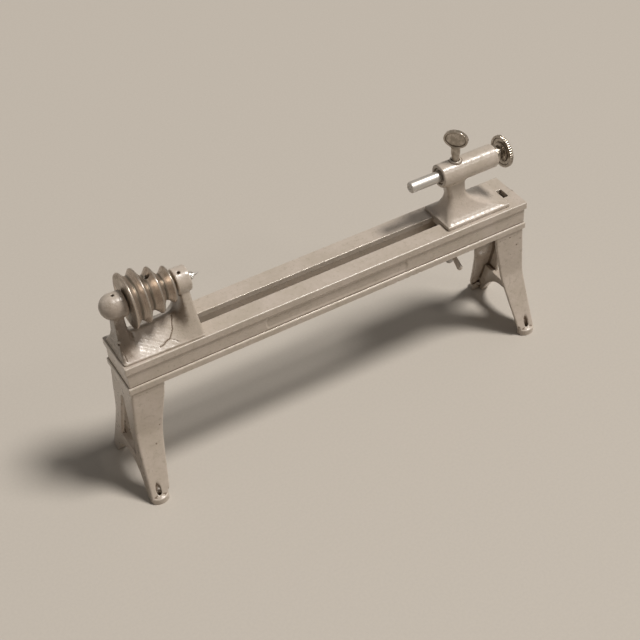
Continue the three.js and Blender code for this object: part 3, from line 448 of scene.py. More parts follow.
class Finish:
    """A material and the few kinds of node that the finishes here are made of."""

    def __init__(self, owner):
        self.owner = owner
        self.owner.use_nodes = True
        self.tree = self.owner.node_tree
        self.tree.nodes.clear()

    def node(self, kind, settings=None, sockets=None, output=0):
        """Adds a node: its settings first, then the value or link of each socket. Gives one output."""
        node = self.tree.nodes.new(kind)
        for name, value in (settings or {}).items():
            setattr(node, name, value)
        for name, value in (sockets or {}).items():
            if isinstance(value, Signal):
                self.tree.links.new(value.socket, node.inputs[name])
            elif isinstance(value, tuple) and len(node.inputs[name].default_value) == 4:
                node.inputs[name].default_value = (*value[:3], 1.0)
            else:
                node.inputs[name].default_value = value
        return Signal(self, node.outputs[output])

    def place(self):
        """Object coordinates in millimetres."""
        where = self.node("ShaderNodeTexCoord", output="Object")
        return self.node("ShaderNodeVectorMath", {"operation": "SCALE"}, {0: where, "Scale": MM})

    def parts(self, vector):
        """The three numbers of a vector."""
        parted = self.node("ShaderNodeSeparateXYZ", None, {0: vector}).socket.node
        return [Signal(self, output) for output in parted.outputs]

    def vector(self, x, y, z):
        return self.node("ShaderNodeCombineXYZ", None, {0: x, 1: y, 2: z})

    def bend(self):
        """How fast the surface turns outwards, per millimetre."""
        return self.node("ShaderNodeAttribute", {"attribute_name": "edge"}, None, "Fac")

    def noise(self, where, scale, detail=2.0, roughness=0.5):
        return self.node("ShaderNodeTexNoise", {"noise_dimensions": "3D"}, {
            "Vector": where, "Scale": scale, "Detail": detail, "Roughness": roughness,
        })

    def cells(self, where, scale):
        """Distance to the nearest of many scattered spots."""
        return self.node("ShaderNodeTexVoronoi", {"feature": "F1"}, {"Vector": where, "Scale": scale})

    def rise(self, value, start, end, low=0.0, high=1.0):
        """Smooth change from low to high while the value goes from start to end."""
        return self.node("ShaderNodeMapRange", {"interpolation_type": "SMOOTHSTEP"}, {
            "Value": value, "From Min": start, "From Max": end, "To Min": low, "To Max": high,
        })

    def blend(self, share, first, second):
        """A colour between two colours."""
        return self.node("ShaderNodeMix", {"data_type": "RGBA"}, {0: share, 6: first, 7: second}, 2)

    def bump(self, height):
        """Normal bent by a height in millimetres."""
        sockets = {"Strength": 1.0, "Distance": 1.0 / MM, "Height": height}
        return self.node("ShaderNodeBump", None, sockets)

    def surface(self, **sockets):
        """The shader itself, with its sockets named as in Blender but for the spaces."""
        named = {name.replace("_", " "): value for name, value in sockets.items()}
        return self.end("ShaderNodeOutputMaterial", self.node("ShaderNodeBsdfPrincipled", None, named))

    def end(self, kind, shader):
        """Links the last shader to an output node."""
        output = self.tree.nodes.new(kind)
        self.tree.links.new(shader.socket, output.inputs["Surface"])
        return self.owner


def tint(colour, factor, warmth=1.0):
    """A colour made lighter or darker, and warmer by taking from its blue."""
    red, green, blue = (part * factor for part in colour)
    return min(1, red), min(1, green), min(1, blue / warmth)


def enamel(name, colours, lumps, wear=1.0, oil_and_shade=()):
    """Warm grey enamel over rough cast iron: lumps, fine orange peel, darkened corners and lighter edges.

    Round each patch, given with its reach in x and z, the colour is darkened: painted shadow under the
    dome and the pulley, with old oil. Where the surface bends inwards it darkens towards a dark brown,
    painted shade with some grime. Where it bends outwards fast come wear and chips, and a lighter colour
    that is partly rubbed enamel and partly a painted highlight.
    """
    f = Finish(bpy.data.materials.new(name))
    base = tuple(colours.enamel)
    where = f.place()
    bend = f.bend()
    broad = f.noise(where, 0.035, 2.0)
    patchy = f.noise(where, 0.22, 3.0, 0.6)
    peel = f.noise(where, 0.55, 2.0, 0.55)
    grain = f.noise(where, 1.7, 3.0, 0.65)
    spots = f.cells(where, 0.42)
    tone = f.rise(broad * 0.55 + patchy * 0.45, 0.32, 0.68)
    colour = f.blend(tone, tint(base, 0.9, 1.05), tint(base, 1.06, 1.0))
    colour = f.blend(f.rise(grain, 0.53, 0.72) * (0.2 + 0.3 * lumps), colour, tint(base, 0.55, 1.12))
    pit = f.rise(spots, 0.17, 0.1) * f.rise(patchy, 0.5, 0.62)
    colour = f.blend(pit * 0.55, colour, tint(base, 0.42, 1.2))
    # Painted shade with some grime: the colour darkens where the surface bends inwards, into corners and
    # creases.
    darkening = f.rise(bend + (patchy - 0.5) * 0.06, -0.06, -0.19)
    colour = f.blend(darkening * 0.92, colour, tuple(colours.darkening))
    # Painted shadow with old oil: each patch darkens the colour round its place, under the dome and the
    # pulley.
    for x0, z0, reach_x, reach_z, strength in oil_and_shade:
        x, _, z = f.parts(where)
        far = (((x - x0) / reach_x) ** 2.0 + ((z - z0) / reach_z) ** 2.0) ** 0.5
        oil = f.rise(far + (patchy - 0.5) * 0.5 + (broad - 0.5) * 0.4, 1.0, 0.45) * strength
        colour = f.blend(oil, colour, tuple(colours.darkening))
    # Painted highlight and rubbed enamel: the colour is lighter where the surface bends outwards fast.
    rubbed_edge_sheen = f.rise(bend + (grain - 0.5) * 0.7 + (patchy - 0.5) * 1.6 * wear, 0.3, 0.6)
    colour = f.blend(rubbed_edge_sheen * 0.4, colour, tuple(colours.rubbed_edge_sheen))
    chips = f.rise(bend + (f.noise(where, 0.8, 3.0, 0.7) - 0.5) * 1.5, 0.72, 0.86) * wear
    colour = f.blend(chips * 0.8, colour, tuple(colours.bare_iron))
    height = peel * (0.13 * lumps) + grain * (0.09 * lumps) + patchy * (0.12 * lumps) - pit * 0.08
    return f.surface(
        Base_Color=colour,
        Roughness=f.rise(patchy, 0.3, 0.7, 0.26, 0.4) + darkening * 0.3 + pit * 0.15 - rubbed_edge_sheen * 0.06,
        Metallic=chips * 0.6,
        Specular_IOR_Level=0.5,
        Coat_Weight=0.45 - darkening * 0.4,
        Coat_Roughness=0.18,
        Normal=f.bump(height),
    )


def turned_iron(colours):
    """Bare turned iron gone brown: fine rings from the tool, painted shade in the grooves, and rims partly
    rubbed bright and partly painted as highlights.
    """
    f = Finish(bpy.data.materials.new("turned_iron"))
    base = tuple(colours.iron)
    where = f.place()
    x = f.parts(where)[0]
    bend = f.bend()
    wobble = f.noise(where, 0.12, 2.0)
    rings = f.noise(f.vector(x * 5.0, wobble * 2.0, 0.0), 1.0, 3.0, 0.7)
    fine = f.noise(f.vector(x * 14.0, wobble * 1.5, 3.0), 1.0, 2.0, 0.7)
    stain = f.noise(where, 0.16, 4.0, 0.6)
    specks = f.noise(where, 1.4, 2.0, 0.6)
    colour = f.blend(f.rise(rings, 0.36, 0.64), tint(base, 0.6, 1.1), tint(base, 1.4, 0.98))
    colour = f.blend(f.rise(stain, 0.48, 0.7) * 0.4, colour, tuple(colours.rust))
    colour = f.blend(f.rise(specks, 0.6, 0.75) * 0.4, colour, tint(base, 0.45, 1.1))
    # Painted shade: the colour darkens where the surface bends inwards, in the grooves.
    dark = f.rise(bend + (stain - 0.5) * 0.1, -0.02, -0.16)
    colour = f.blend(dark * 0.85, colour, tint(base, 0.2, 1.15))
    # Rims partly rubbed bright and partly a painted highlight: lighter where the surface bends outwards.
    bright = f.rise(bend + (specks - 0.5) * 0.3, 0.3, 0.6)
    colour = f.blend(bright * 0.85, colour, tuple(colours.steel))
    return f.surface(
        Base_Color=colour,
        Roughness=f.rise(stain, 0.3, 0.7, 0.24, 0.42) + fine * 0.12 - bright * 0.1,
        Metallic=0.92,
        Normal=f.bump(rings * 0.035 + fine * 0.015 + specks * 0.012),
    )


def bright_metal(name, colour, tarnish, roughness, ring):
    """Polished metal with faint turning rings, smudges, and tarnish in its corners."""
    f = Finish(bpy.data.materials.new(name))
    base = tuple(colour)
    where = f.place()
    x = f.parts(where)[0]
    bend = f.bend()
    wobble = f.noise(where, 0.2, 2.0)
    rings = f.noise(f.vector(x * 9.0, wobble, 0.0), 1.0, 3.0, 0.7)
    smudge = f.noise(where, 0.28, 4.0, 0.62)
    specks = f.noise(where, 1.9, 2.0, 0.6)
    shade = f.blend(f.rise(smudge, 0.36, 0.66), tint(base, 0.72, 1.06), tint(base, 1.12, 1.0))
    shade = f.blend(f.rise(specks, 0.64, 0.78) * 0.5, shade, tuple(tarnish))
    darkening = f.rise(bend + (smudge - 0.5) * 0.2, -0.08, -0.4)
    shade = f.blend(darkening * 0.9, shade, tuple(tarnish))
    # Painted highlight: the colour is lighter where the surface bends outwards fast.
    bright = f.rise(bend, 0.5, 1.1)
    shade = f.blend(bright * 0.5, shade, tint(base, 1.3, 1.0))
    return f.surface(
        Base_Color=shade,
        Roughness=f.rise(smudge, 0.3, 0.7, roughness, roughness + 0.14) + darkening * 0.3,
        Metallic=1.0,
        Normal=f.bump(rings * ring + specks * 0.006),
    )


def finish(name):
    """The named finish, made the first time that it is asked for."""
    colours = bpy.context.scene.lathe_colours
    makers = {
        "warm_grey_enamel": lambda: enamel(name, colours, 1.0),
        "oil_and_shade_enamel": lambda: enamel(name, colours, 1.0, oil_and_shade=OIL_SHADOW_PATCHES),
        "smooth_enamel": lambda: enamel(name, colours, 0.3, 0.35),
        "turned_iron": lambda: turned_iron(colours),
        "bright_steel": lambda: bright_metal(name, colours.steel, colours.tarnish, 0.16, 0.012),
        "bright_nickel": lambda: bright_metal(name, colours.nickel, colours.tarnish, 0.14, 0.006),
        "bearing_bronze": lambda: bright_metal(name, colours.bronze, colours.rust, 0.3, 0.02),
    }
    return bpy.data.materials.get(name) or makers[name]()


# Painted shadow with old oil round the spindle's bearings, under the dome and the pulley, x from the bed's
# middle: x, z, reach in x and z, strength
OIL_SHADOW_PATCHES = (
    (7.0 - LENGTH / 2, SEAT + 22, 15.0, 26.0, 0.85),
    (6.0 - LENGTH / 2, AXIS - 2, 14.0, 15.0, 0.42),
    (57.0 - LENGTH / 2, SEAT + 26, 8.0, 16.0, 0.6),
)


SLOT_FINISHES = {
    "enamelled_casting": "warm_grey_enamel",
    "bright_steel": "bright_steel",
    "dark_iron": "turned_iron",
    "nickel_plate": "bright_nickel",
    "bearing_bronze": "bearing_bronze",
}


def bed_columns():
    """One walk round a rectangle, seen from above: side shares from -1 to 1, and the way a side faces.

    The front has a column every 0.8 mm where the cartouche and the nicks are, and the corners turn
    in six steps.
    """
    front = np.concatenate([
        np.linspace(-1, -0.4, 44, endpoint=False),
        np.linspace(-0.4, 0.45, 230, endpoint=False),
        np.linspace(0.45, 1, 42),
    ])
    back = np.linspace(1, -1, 120)
    side = np.array([-1, -0.8, -0.6, -0.45, -0.3, -0.15, -0.02, 0.02, 0.15, 0.3, 0.45, 0.6, 0.8, 1])
    turn = np.radians(np.linspace(0, 90, 7)[1:-1])
    one = np.ones(len(turn))
    ux = np.concatenate([front, one, 0 * side + 1, one, back, -one, 0 * side - 1, -one])
    uy = np.concatenate([0 * front - 1, -one, side, one, 0 * back + 1, one, -side, -one])
    face = np.concatenate([
        0 * front - math.pi / 2, turn - math.pi / 2, 0 * side, turn,
        0 * back + math.pi / 2, turn + math.pi / 2, 0 * side + math.pi, turn + math.pi,
    ])
    return ux, uy, face


def bed_shape(edge):
    """The bed's section carried round its outline.

    A row of the section is a rectangle with round corners, given by its half length, half width and
    height. The section runs up the outside, over the ways into the slot, and back out through the
    hollow underneath.
    """
    lip, flange = LIP_UNDER, FLANGE_TOP
    outer = LENGTH / 2
    slot = outer - SLOT_IN, SLOT_HALF
    hollow = outer - 4.7, PANEL_HALF - 3.4

    def at(inset, z, radius):
        return [outer - inset, HALF - inset, z, radius]

    section = rounded([
        at(0, BED_BOTTOM, edge), at(0, flange - 0.9, 0.35), at(0.9, flange, 0.35),
        at(1.3, flange, 0.3), at(1.3, flange + 1.2, 0.9), at(1.3, lip - 1.2, 0.9),
        at(1.3, lip, 0.35), at(0, lip, 0.35), at(0, WAY_TOP - 0.5, 0.4), at(0.5, WAY_TOP, 0.4),
        [*slot, WAY_TOP, 0.5], [*slot, WAY_UNDER, 0.4],
        [*hollow, WAY_UNDER, 1.5], [*hollow, BED_BOTTOM, edge],
    ], 1.1, closed=True)
    ux, uy, face = bed_columns()
    ax, ay, z = (section[:, k:k + 1] for k in range(3))
    corner = np.where(ay < PANEL_HALF - 3, 1.6, 0.9)
    x = outer + ux * (ax - corner) + corner * np.cos(face)
    y = uy * (ay - corner) + corner * np.sin(face)
    z = z + 0 * x
    back_lip = (uy > 0) & (z > lip + 0.05) & (x > LENGTH - 6)
    x = np.where(back_lip & (y > 0), np.minimum(x, LENGTH - 1.5), x)
    points = np.stack([x, y, z], -1)
    panel = (y < -PANEL_HALF + 0.05) & (z > flange + 0.3) & (z < lip - 0.3)
    points[..., 1] += np.where(panel, cartouche_depth(x, z), 0)
    outside = (ay > PANEL_HALF - 0.1) + 0 * x > 0
    for place, height, size, depth in BED_MARKS:
        near = np.hypot(x - place, z - height)
        points[..., 1] += np.where(outside & (y < -20), depth * (1 - soft_step(near, 0, size)), 0)
    wave = unevenness(points, 0.09)
    side_wave = np.sign(y) * wave * (np.abs(np.sin(face)) > 0.5)
    end_wave = np.sign(x - outer) * np.abs(wave) * (np.abs(np.cos(face)) > 0.5)
    points[..., 1] -= np.where(outside, side_wave, 0)
    points[..., 0] -= np.where(outside, end_wave, 0)
    faces = grid_faces(len(section), len(ux), rows_close=True)[:, ::-1]
    return points.reshape(-1, 3), faces


# Nicks and marks on the bed's front: place along it, height, reach and depth
BED_MARKS = (
    (260.1, BED_BOTTOM, 1.7, 0.7),
    (267.5, BED_BOTTOM, 1.3, 0.5),
    (275.0, BED_BOTTOM + 0.2, 1.9, 0.8),
    (283.5, BED_BOTTOM + 0.3, 1.5, 0.6),
    (384.9, 128.1, 1.3, 0.5),
    (18.0, 128.0, 1.1, 0.35),
    (22.5, 127.0, 0.9, 0.3),
)


def cartouche_depth(x, z):
    """Depth of the bare sunk field on the bed's front: its long edges are straight, its ends bowed."""
    start, end, half, depth = 129, 271, 6.0, 0.75
    middle = (FLANGE_TOP + LIP_UNDER) / 2
    up = np.clip((z - middle) / half, -1, 1)
    bow = 3.5 * (np.sqrt(1 - up * up) - 1)
    outside = np.maximum(np.abs(z - middle) - half, np.maximum(x - end - bow, start - bow - x))
    return depth * (1 - soft_step(outside, -0.45, 0.2))


def boss_shapes():
    """The four bosses inside the bed that the legs' screws go into: turned bars, stood upright."""
    bottom, bore, top = BED_BOTTOM, BED_BOTTOM + 12.0, WAY_UNDER + 0.4
    hole, wall = 2.5, 5.0
    profile = rounded([
        [bore, 0, 0.2], [bore, hole, 0.2], [bottom, hole, 0.2],
        [bottom, wall, 0.2], [top, wall, 0.2], [top, 0, 0.2],
    ], 3.0)
    turning, quads, triangles = turned(profile, 24, 0.0)
    up, off_x, off_y = turning.T
    bosses = [
        np.stack([off_x + x, off_y + y, up], -1)
        for x in (SCREW_IN, LENGTH - SCREW_IN) for y in (-SCREW_ACROSS, SCREW_ACROSS)
    ]
    starts = [len(turning) * k for k in range(len(bosses))]
    return (
        np.concatenate(bosses),
        np.concatenate([quads + start for start in starts]),
        np.concatenate([triangles + start for start in starts]),
    )


def leg_outer(z):
    """Where the leg's outer face is at a height: it leans outwards towards the foot."""
    return 1.8 - 6.6 * np.clip(1 - z / LEG_TOP, 0, 2) ** 0.8


def leg_inner(z):
    """Where the leg's inner face is: 29.8 mm further in at the top, 16.5 mm at the foot."""
    return leg_outer(z) + 29.8 + (16.5 - 29.8) * np.clip((104 - z) / 104, 0, 1.2)


def leg_half(z):
    """Half the leg's width: it flares below 66 mm, softly at first."""
    fall = (66 - z) / 66
    return HALF - 1.2 + 22.4 * np.clip(0.5 * (fall + np.sqrt(fall * fall + 0.004)), 0, 1.2) ** 1.12


def leg_field(points):
    """The left leg: an end plate with a window and an arch, two side plates, a sill, a slab and feet.

    Each plate is what lies between two curves of the height. The feet are tongues with round toes.
    """
    x, y, z = np.moveaxis(points, -1, 0)
    side = np.abs(y)
    sill_top, window_top, slab_under = 37.0, 96.0, LEG_TOP - 4.5
    foot_half, toe_start, toe_length = 8.25, HALF + 16.0, 6.5
    outermost = leg_outer(np.array(0.0))
    outer, inner, half = leg_outer(z), leg_inner(z), leg_half(z)
    outer_slope, half_slope = slope_of(leg_outer, z), slope_of(leg_half, z)
    left = evened(outer - x, outer_slope)
    right = evened(x - inner, slope_of(leg_inner, z))
    flank = evened(side - half, half_slope)
    body = meet(meet(left, flank, 1.8), right, 1.0)
    hollow = meet(evened(outer + 3.2 - x, outer_slope), evened(side - half + 3.0, half_slope), 1.8)
    hollow = meet(hollow, z - slab_under, 1.5)
    sill = meet(evened(x - outer - 8.0, outer_slope), z - sill_top, 1.0)
    body = carve(body, carve(hollow, sill, 1.0), 0.9)
    window_half = leg_half(np.array(sill_top)) - 15.0
    lean = (window_half - 2.2) / (window_top - sill_top)
    window = evened(side - window_half + lean * (z - sill_top), lean)
    window = meet(meet(window, sill_top - z, 1.5), z - window_top, 1.5)
    body = carve(body, window, 0.9)
    arch_high, arch_half, power = 29.0, 33.0, 2.2
    arch_slope = arch_high * power / arch_half * np.minimum(side / arch_half, 1.3) ** (power - 1)
    arch = evened(z - arch_high * (1 - (side / arch_half) ** power), arch_slope)
    body = carve(body, meet(arch, side - 40.0), 0.9)
    across = (x - outermost - foot_half) / foot_half
    reach = np.maximum((side - toe_start) / toe_length, 0)
    plan = np.hypot(across, reach)
    plan_slope = np.hypot(across / foot_half, reach / toe_length) / np.maximum(plan, 1e-3)
    toe = (plan - 1) / np.maximum(plan_slope, 0.06)
    body = carve(body, meet(meet(-toe, z - 10.5), toe_start - side), 0.6)
    body = join(body, meet(meet(toe, z - 6.5, 1.2), toe_start - 2.5 - side), 0.4)
    bolt = np.hypot(x - outermost - foot_half, side - toe_start)
    body = join(body, meet(bolt - 5.0, span(z, 6.0, 7.3), 0.5), 0.6)
    body = carve(body, meet(bolt - 2.3, span(z, 7.3, 24.0), 0.5), 0.5)
    slab = meet(meet(span(x, 1.8, 31.6), side - (HALF - 1.2), 1.5), slab_under - z, 0.4)
    body = join(body, slab, 0.8) + unevenness(points, 0.11)
    body = meet(body, z - LEG_TOP, 1.3)
    body = carve(body, bolt - 2.1, 0.5)
    screw = np.hypot(x - SCREW_IN, side - SCREW_ACROSS)
    body = carve(body, meet(screw - 2.5, LEG_TOP - 6.0 - z), 0.3)
    ends = meet(outermost + 0.02 - x, side - (toe_start + toe_length) + 0.02)
    return meet(meet(body, -z, 0.5), ends)


# The headstock's body: its ends, the posts' inner faces, and heights above the seat
HEAD_START, HEAD_END = 1.6, 73.8
OUTER_END, INNER_START = 13.0, 62.6
CREST, SADDLE, HEAD_BAND = 46.0, 16.5, 2.2


def head_ridge(x):
    """How much the saddle has risen: with the square of the way from the outer to the inner post."""
    return 4 * np.clip((x - OUTER_END) / (INNER_START - OUTER_END), 0, 1) ** 2


def head_crest(x):
    """Height of the body above its seat: the saddle's, with the posts dying away from their faces."""
    outer = np.exp(-np.maximum(0, x - OUTER_END) / 1.7)
    inner = np.exp(-np.maximum(0, INNER_START - x) / 1.7)
    return SADDLE + (CREST - SADDLE) * np.maximum(outer, inner) + head_ridge(x) * (1 - inner)


def head_half(x, h):
    """Half width of the body at a place and a height: a narrow top that flares out to the seat.

    The saddle and each post have a flank of their own. A post's takes over from the saddle's along
    an S curve, which is short at the top and long at the foot, where the flanks run into each other.
    """
    along = (x - HEAD_START) / (HEAD_END - HEAD_START)
    base_half, post_half, saddle_half = 20.4 + 2.2 * along, 7.6 + 1.8 * along, 2.6
    low = np.clip((h - HEAD_BAND) / (SADDLE + head_ridge(x) - HEAD_BAND), 0, 1)
    tall = np.clip((h - HEAD_BAND) / (CREST - HEAD_BAND), 0, 1)
    saddle = saddle_half + (base_half - saddle_half) * (1 - low) ** 1.25
    outer = post_half + (base_half - post_half) * (1 - tall) ** 4
    inner = post_half + (base_half - post_half) * (1 - tall) ** 1.25
    outer_reach = 1.2 + 4 * np.exp(-np.maximum(h, 0) / 10)
    inner_reach = 1.2 + 9 * np.exp(-np.maximum(h, 0) / 11)
    outer_turn = (x - OUTER_END - 1.3 * outer_reach) / (0.55 * outer_reach)
    inner_turn = (INNER_START - 1.3 * inner_reach - x) / (0.55 * inner_reach)
    outer_share = 1 / (1 + np.exp(np.clip(outer_turn, -30, 30)))
    inner_share = 1 / (1 + np.exp(np.clip(inner_turn, -30, 30)))
    half = saddle + (outer - saddle) * outer_share + (inner - saddle) * inner_share
    return half - band_step(h, 2.0)


def band_step(h, height):
    """How far a foot's flare stands back above the upright band round its edge: 0.45 mm."""
    return 0.45 * soft_step(h, height - 0.2, height + 0.5)


def head_field(points):
    """The headstock: two posts and a saddle on a flared foot, two barrels with fillets, and bores."""
    x, y, z = np.moveaxis(points, -1, 0)
    h, up = z - SEAT, z - AXIS
    slope_x = slope_of(lambda place: head_half(place, h), x)
    slope_h = slope_of(lambda height: head_half(x, height), h)
    flank = evened(np.abs(y) - head_half(x, h), slope_x, np.clip(slope_h, -4, 4))
    top = evened(h - head_crest(x), slope_of(head_crest, x))
    tall = np.clip((h - HEAD_BAND) / (CREST - HEAD_BAND), 0, 1)
    left = HEAD_START + 2.4 * (1 - (1 - tall) ** 4) + band_step(h, 2.0) - x
    right = x - HEAD_END + 3.2 * (1 - (1 - tall) ** 1.25) + band_step(h, 2.0)
    body = meet(meet(flank, meet(left, right), 2.2), top, 1.6)
    ring = np.hypot(y, up)
    dome = np.where(x < 7.4, np.hypot(x - 7.4, ring), ring) - 11.1
    body = join(body, meet(dome, x - 17.4, 1.2), 2.0)
    body = join(body, meet(ring - 11.1, span(x, 60.8, 73.0), 1.0), 1.3)
    body = body + unevenness(points, 0.11)
    eye, hole = SEAT + 17.6, SEAT + 17.4
    body = join(body, groove(points, [(4.4, -8.6, eye), (3.4, -10.6, eye)], 1.7), 0.5)
    body = carve(body, groove(points, [(5.4, -8.0, hole), (2.6, -12.0, hole)], 0.95), 0.3)
    for path, radius, depth in HEAD_CREASES:
        line = groove(np.stack([x, 0 * x, h], -1), [(a, 0, b) for a, b in path], radius)
        body = carve(body, meet(meet(line, -flank - depth), y), 0.3)
    body = meet(body, -h, 0.5)
    body = join(body, block(x, (8.7, 71.6), y, TONGUE_HALF, z, (WAY_TOP - 3, SEAT + 0.5), 0.3, 0.3))
    room = np.interp(x, [19.7, 30.9, 43.9, 56.4], [24.9, 24.5, 21.0, 16.9])
    body = carve(body, meet(ring - room, span(x, 18.0, 59.9), 0.5), 0.7)
    body = carve(body, rod(y, up, x, 7.0, 4.6, 20.0), 0.5)
    body = carve(body, rod(y, up, x, 7.0, 58.0, 76.0), 0.6)
    body = carve(body, rod(y, up, x, 2.5, 0.8, 8.0), 0.2)
    for oil, degrees in OIL_HOLES.values():
        across, rise = leaned(y, up, degrees)
        body = carve(body, meet(np.hypot(x - oil, across) - OIL_RADIUS, -rise), 0.5)
    for place in (34.0, 52.0):
        body = carve(body, meet(np.hypot(x - place, y) - 2.7, z - SEAT - 9.1), 0.2)
    return body


# The oil holes over the two bushes: their place, and how many degrees they lean to the front
OIL_HOLES = {"left_bearing_bush": (9.1, 0.0), "right_bearing_bush": (65.3, 17.0)}
OIL_RADIUS = 1.45

# Creases in the front flank: places along the bed with heights above the seat, radius and depth
HEAD_CREASES = (
    ([(56.0, 25.0), (54.4, 20.5), (53.4, 17.0), (50.9, 12.8), (50.0, 10.4), (46.4, 7.4),
      (44.6, 6.0), (41.0, 5.4), (37.8, 4.3), (34.5, 4.0)], 0.3, 0.5),
    ([(44.6, 6.0), (48.2, 4.9), (50.5, 3.4)], 0.2, 0.35),
    ([(4.4, 16.0), (5.0, 9.0), (5.2, 3.4)], 0.4, 0.5),
)


def pulley_shape():
    """The cone pulley: four rims with V grooves between them, turned round the bore.

    A groove's walls follow a power of the height, so that they curve into its floor. A well for the
    set screw is pressed into the wall beside the third rim, straight down to the screw's end.
    """
    rims = [(19.7, 23.9), (30.9, 23.5), (43.9, 20.0), (56.4, 15.9)]
    floors = [(25.4, 18.8), (37.2, 14.8), (50.2, 11.2)]
    half, soft = 0.85, 0.5
    corners = [[18.3, 5.1, 0.3], [18.3, rims[0][1] - soft, 0.4]]
    for k, (place, radius) in enumerate(rims):
        if k:
            corners.append([place - half, radius - soft, 0.5])
        corners += [[place - half + soft, radius, 0.4], [place + half - soft, radius, 0.4]]
        corners.append([place + half, radius - soft, 0.5])
        if k < len(floors):
            x, r = floors[k]
            after, high = rims[k + 1]
            down, up = (0.8, 0.6, 0.4, 0.2), (0.0, 0.2, 0.4, 0.6, 0.8)
            for edge, top, shares in (place + half, radius, down), (after - half, high, up):
                for share in shares:
                    wall = share ** 1.5
                    corners.append([x + (edge - x) * share, r + (top - soft - r) * wall, 0.8])
    corners += [[59.6, 9.0, 0.6], [59.6, 5.1, 0.3]]
    section = rounded(corners, 0.42, closed=True, arc=3)
    fine = np.radians(np.linspace(-11, 11, 40))
    rest = np.radians(np.linspace(11, 349, 170)[1:-1])
    points, faces, _ = turned(section, np.concatenate([fine, rest]), closed=True)
    x, y, z = points.T
    screw, screw_end = 39.8, AXIS + 10.9
    near = np.hypot(x - screw, y)
    well = (1 - soft_step(near, 1.95, 2.3)) * (z > AXIS + 11)
    points[:, 2] = z + (np.minimum(z, screw_end) - z) * well
    return points, faces


def plan_gap(x, y, start, end, half, corner):
    """Distance in plan to a rectangle with round corners."""
    along = np.abs(x - (start + end) / 2) - (end - start) / 2 + corner
    across = np.abs(y) - half + corner
    outside = np.hypot(np.maximum(along, 0), np.maximum(across, 0))
    return outside + np.minimum(np.maximum(along, across), 0) - corner


def tail_plan(x, y, h):
    """Distance in plan to what the body fills at a height.

    The foot's rectangle draws in with height, fast at first, and runs out softly into the column's,
    22 mm up. The column's side under the quill leans out towards the barrel.
    """
    left = 1 - (np.maximum(h - 3.4, 0) / 18.6) ** (1 / 1.6)
    left = 0.5 * (left + np.sqrt(left * left + 0.02)) / 1.005
    lean = 8.6 * np.clip((h - 22) / 26.2, 0, 1) ** 1.5
    corner = 1.2 + 2.6 * (1 - left) + 14.0 * left * np.maximum(1 - left, 0)
    start, end, half = -5.1 - 10.1 * left - lean, 11.9 + 39.9 * left, 6.2 + 13.4 * left
    return plan_gap(x, y, start, end, half, np.maximum(corner, 1.2)) + band_step(h, 2.8)


def tail_field(points):
    """The tailstock: a flared foot, a leaning column, a barrel, the thumb screw's seat and bores."""
    x, y, z = np.moveaxis(points, -1, 0)
    h, up = z - SEAT, z - AXIS
    slope = slope_of(lambda height: tail_plan(x, y, height), h)
    body = meet(evened(tail_plan(x, y, h), np.clip(slope, -5, 5)), h - CENTRE_HEIGHT)
    ring = np.hypot(y, up)
    body = join(body, meet(ring - 10.7, span(x, -14.0, 43.1), 1.0), 3.0)
    seat = np.hypot(x - THUMB_SCREW, y)
    body = join(body, meet(seat - 5.2, span(up, 0, 11.6), 0.5), 0.8)
    body = body + unevenness(points, 0.08)
    body = meet(body, -h, 0.5)
    body = join(body, block(x, TAIL_TONGUE, y, TONGUE_HALF, z, (WAY_TOP - 4.6, SEAT + 0.5), 0.3, 0.3))
    body = carve(body, rod(y, up, x, 7.6, -20.0, -12.6), 0.6)
    body = carve(body, rod(y, up, x, 5.4, -20.0, 39.1), 0.2)
    body = carve(body, rod(y, up, x, 3.6, -14.0, 50.0), 0.2)
    body = carve(body, meet(seat - 3.9, -up), 0.4)
    body = carve(body, meet(np.hypot(x, y) - 3.5, z - SEAT - 15.1), 0.2)
    return carve(body, meet(np.hypot(x - 2.4, y) - 1.2, span(up, -9.2, 0)), 0.1)


def thumb_field(points):
    """The thumb screw: an oval head dished on both sides, a flat neck and a round shank.

    The head is worked out along a and across b, which are x and y turned round the screw's axis.
    """
    x, y, z = np.moveaxis(points, -1, 0)
    turn, middle, thick_half = math.radians(-50.7), 32.6, 2.1
    x = x - THUMB_SCREW
    a = x * math.cos(turn) + y * math.sin(turn)
    b = y * math.cos(turn) - x * math.sin(turn)
    up = z - AXIS
    thick = np.abs(b) - thick_half

    def oval(inset):
        wide, high = 10.9 - inset, 8.6 - inset
        far = np.hypot(a / wide, (up - middle) / high)
        slope = np.hypot(a / wide ** 2, (up - middle) / high ** 2) / np.maximum(far, 1e-3)
        return (far - 1) / np.maximum(slope, 0.08)

    head = meet(oval(0.0), thick, 0.8)
    neck_half = 3.4 + 4.2 * np.clip((up - 22.5) / 7.0, 0, 1) ** 1.5
    neck = meet(meet(np.abs(a) - neck_half, thick, 0.8), span(up, 17.5, middle), 0.8)
    shank_radius = np.interp(up, [5.4, 21.5, 26.0], [3.6, 3.5, 2.1])
    shank = meet(np.hypot(a, b) - shank_radius, span(up, 5.4, 26.0), 0.5)
    shape = join(join(head, neck, 0.6), shank, 1.6)
    dish = meet(oval(1.7), 0.95 - np.abs(b), 0.4)
    return carve(shape, dish, 0.5)


def bush_field(points, start, end, oil, degrees):
    """A bearing bush: a tube with round edges, and an oil hole in its top that leans to the front."""
    x, y, z = np.moveaxis(points, -1, 0)
    up = z - AXIS
    across, rise = leaned(y, up, degrees)
    tube = carve(rod(y, up, x, 6.9, start, end, 0.3), np.hypot(y, up) - 5.3, 0.3)
    return carve(tube, meet(np.hypot(x - oil, across) - OIL_RADIUS, -rise), 0.2)


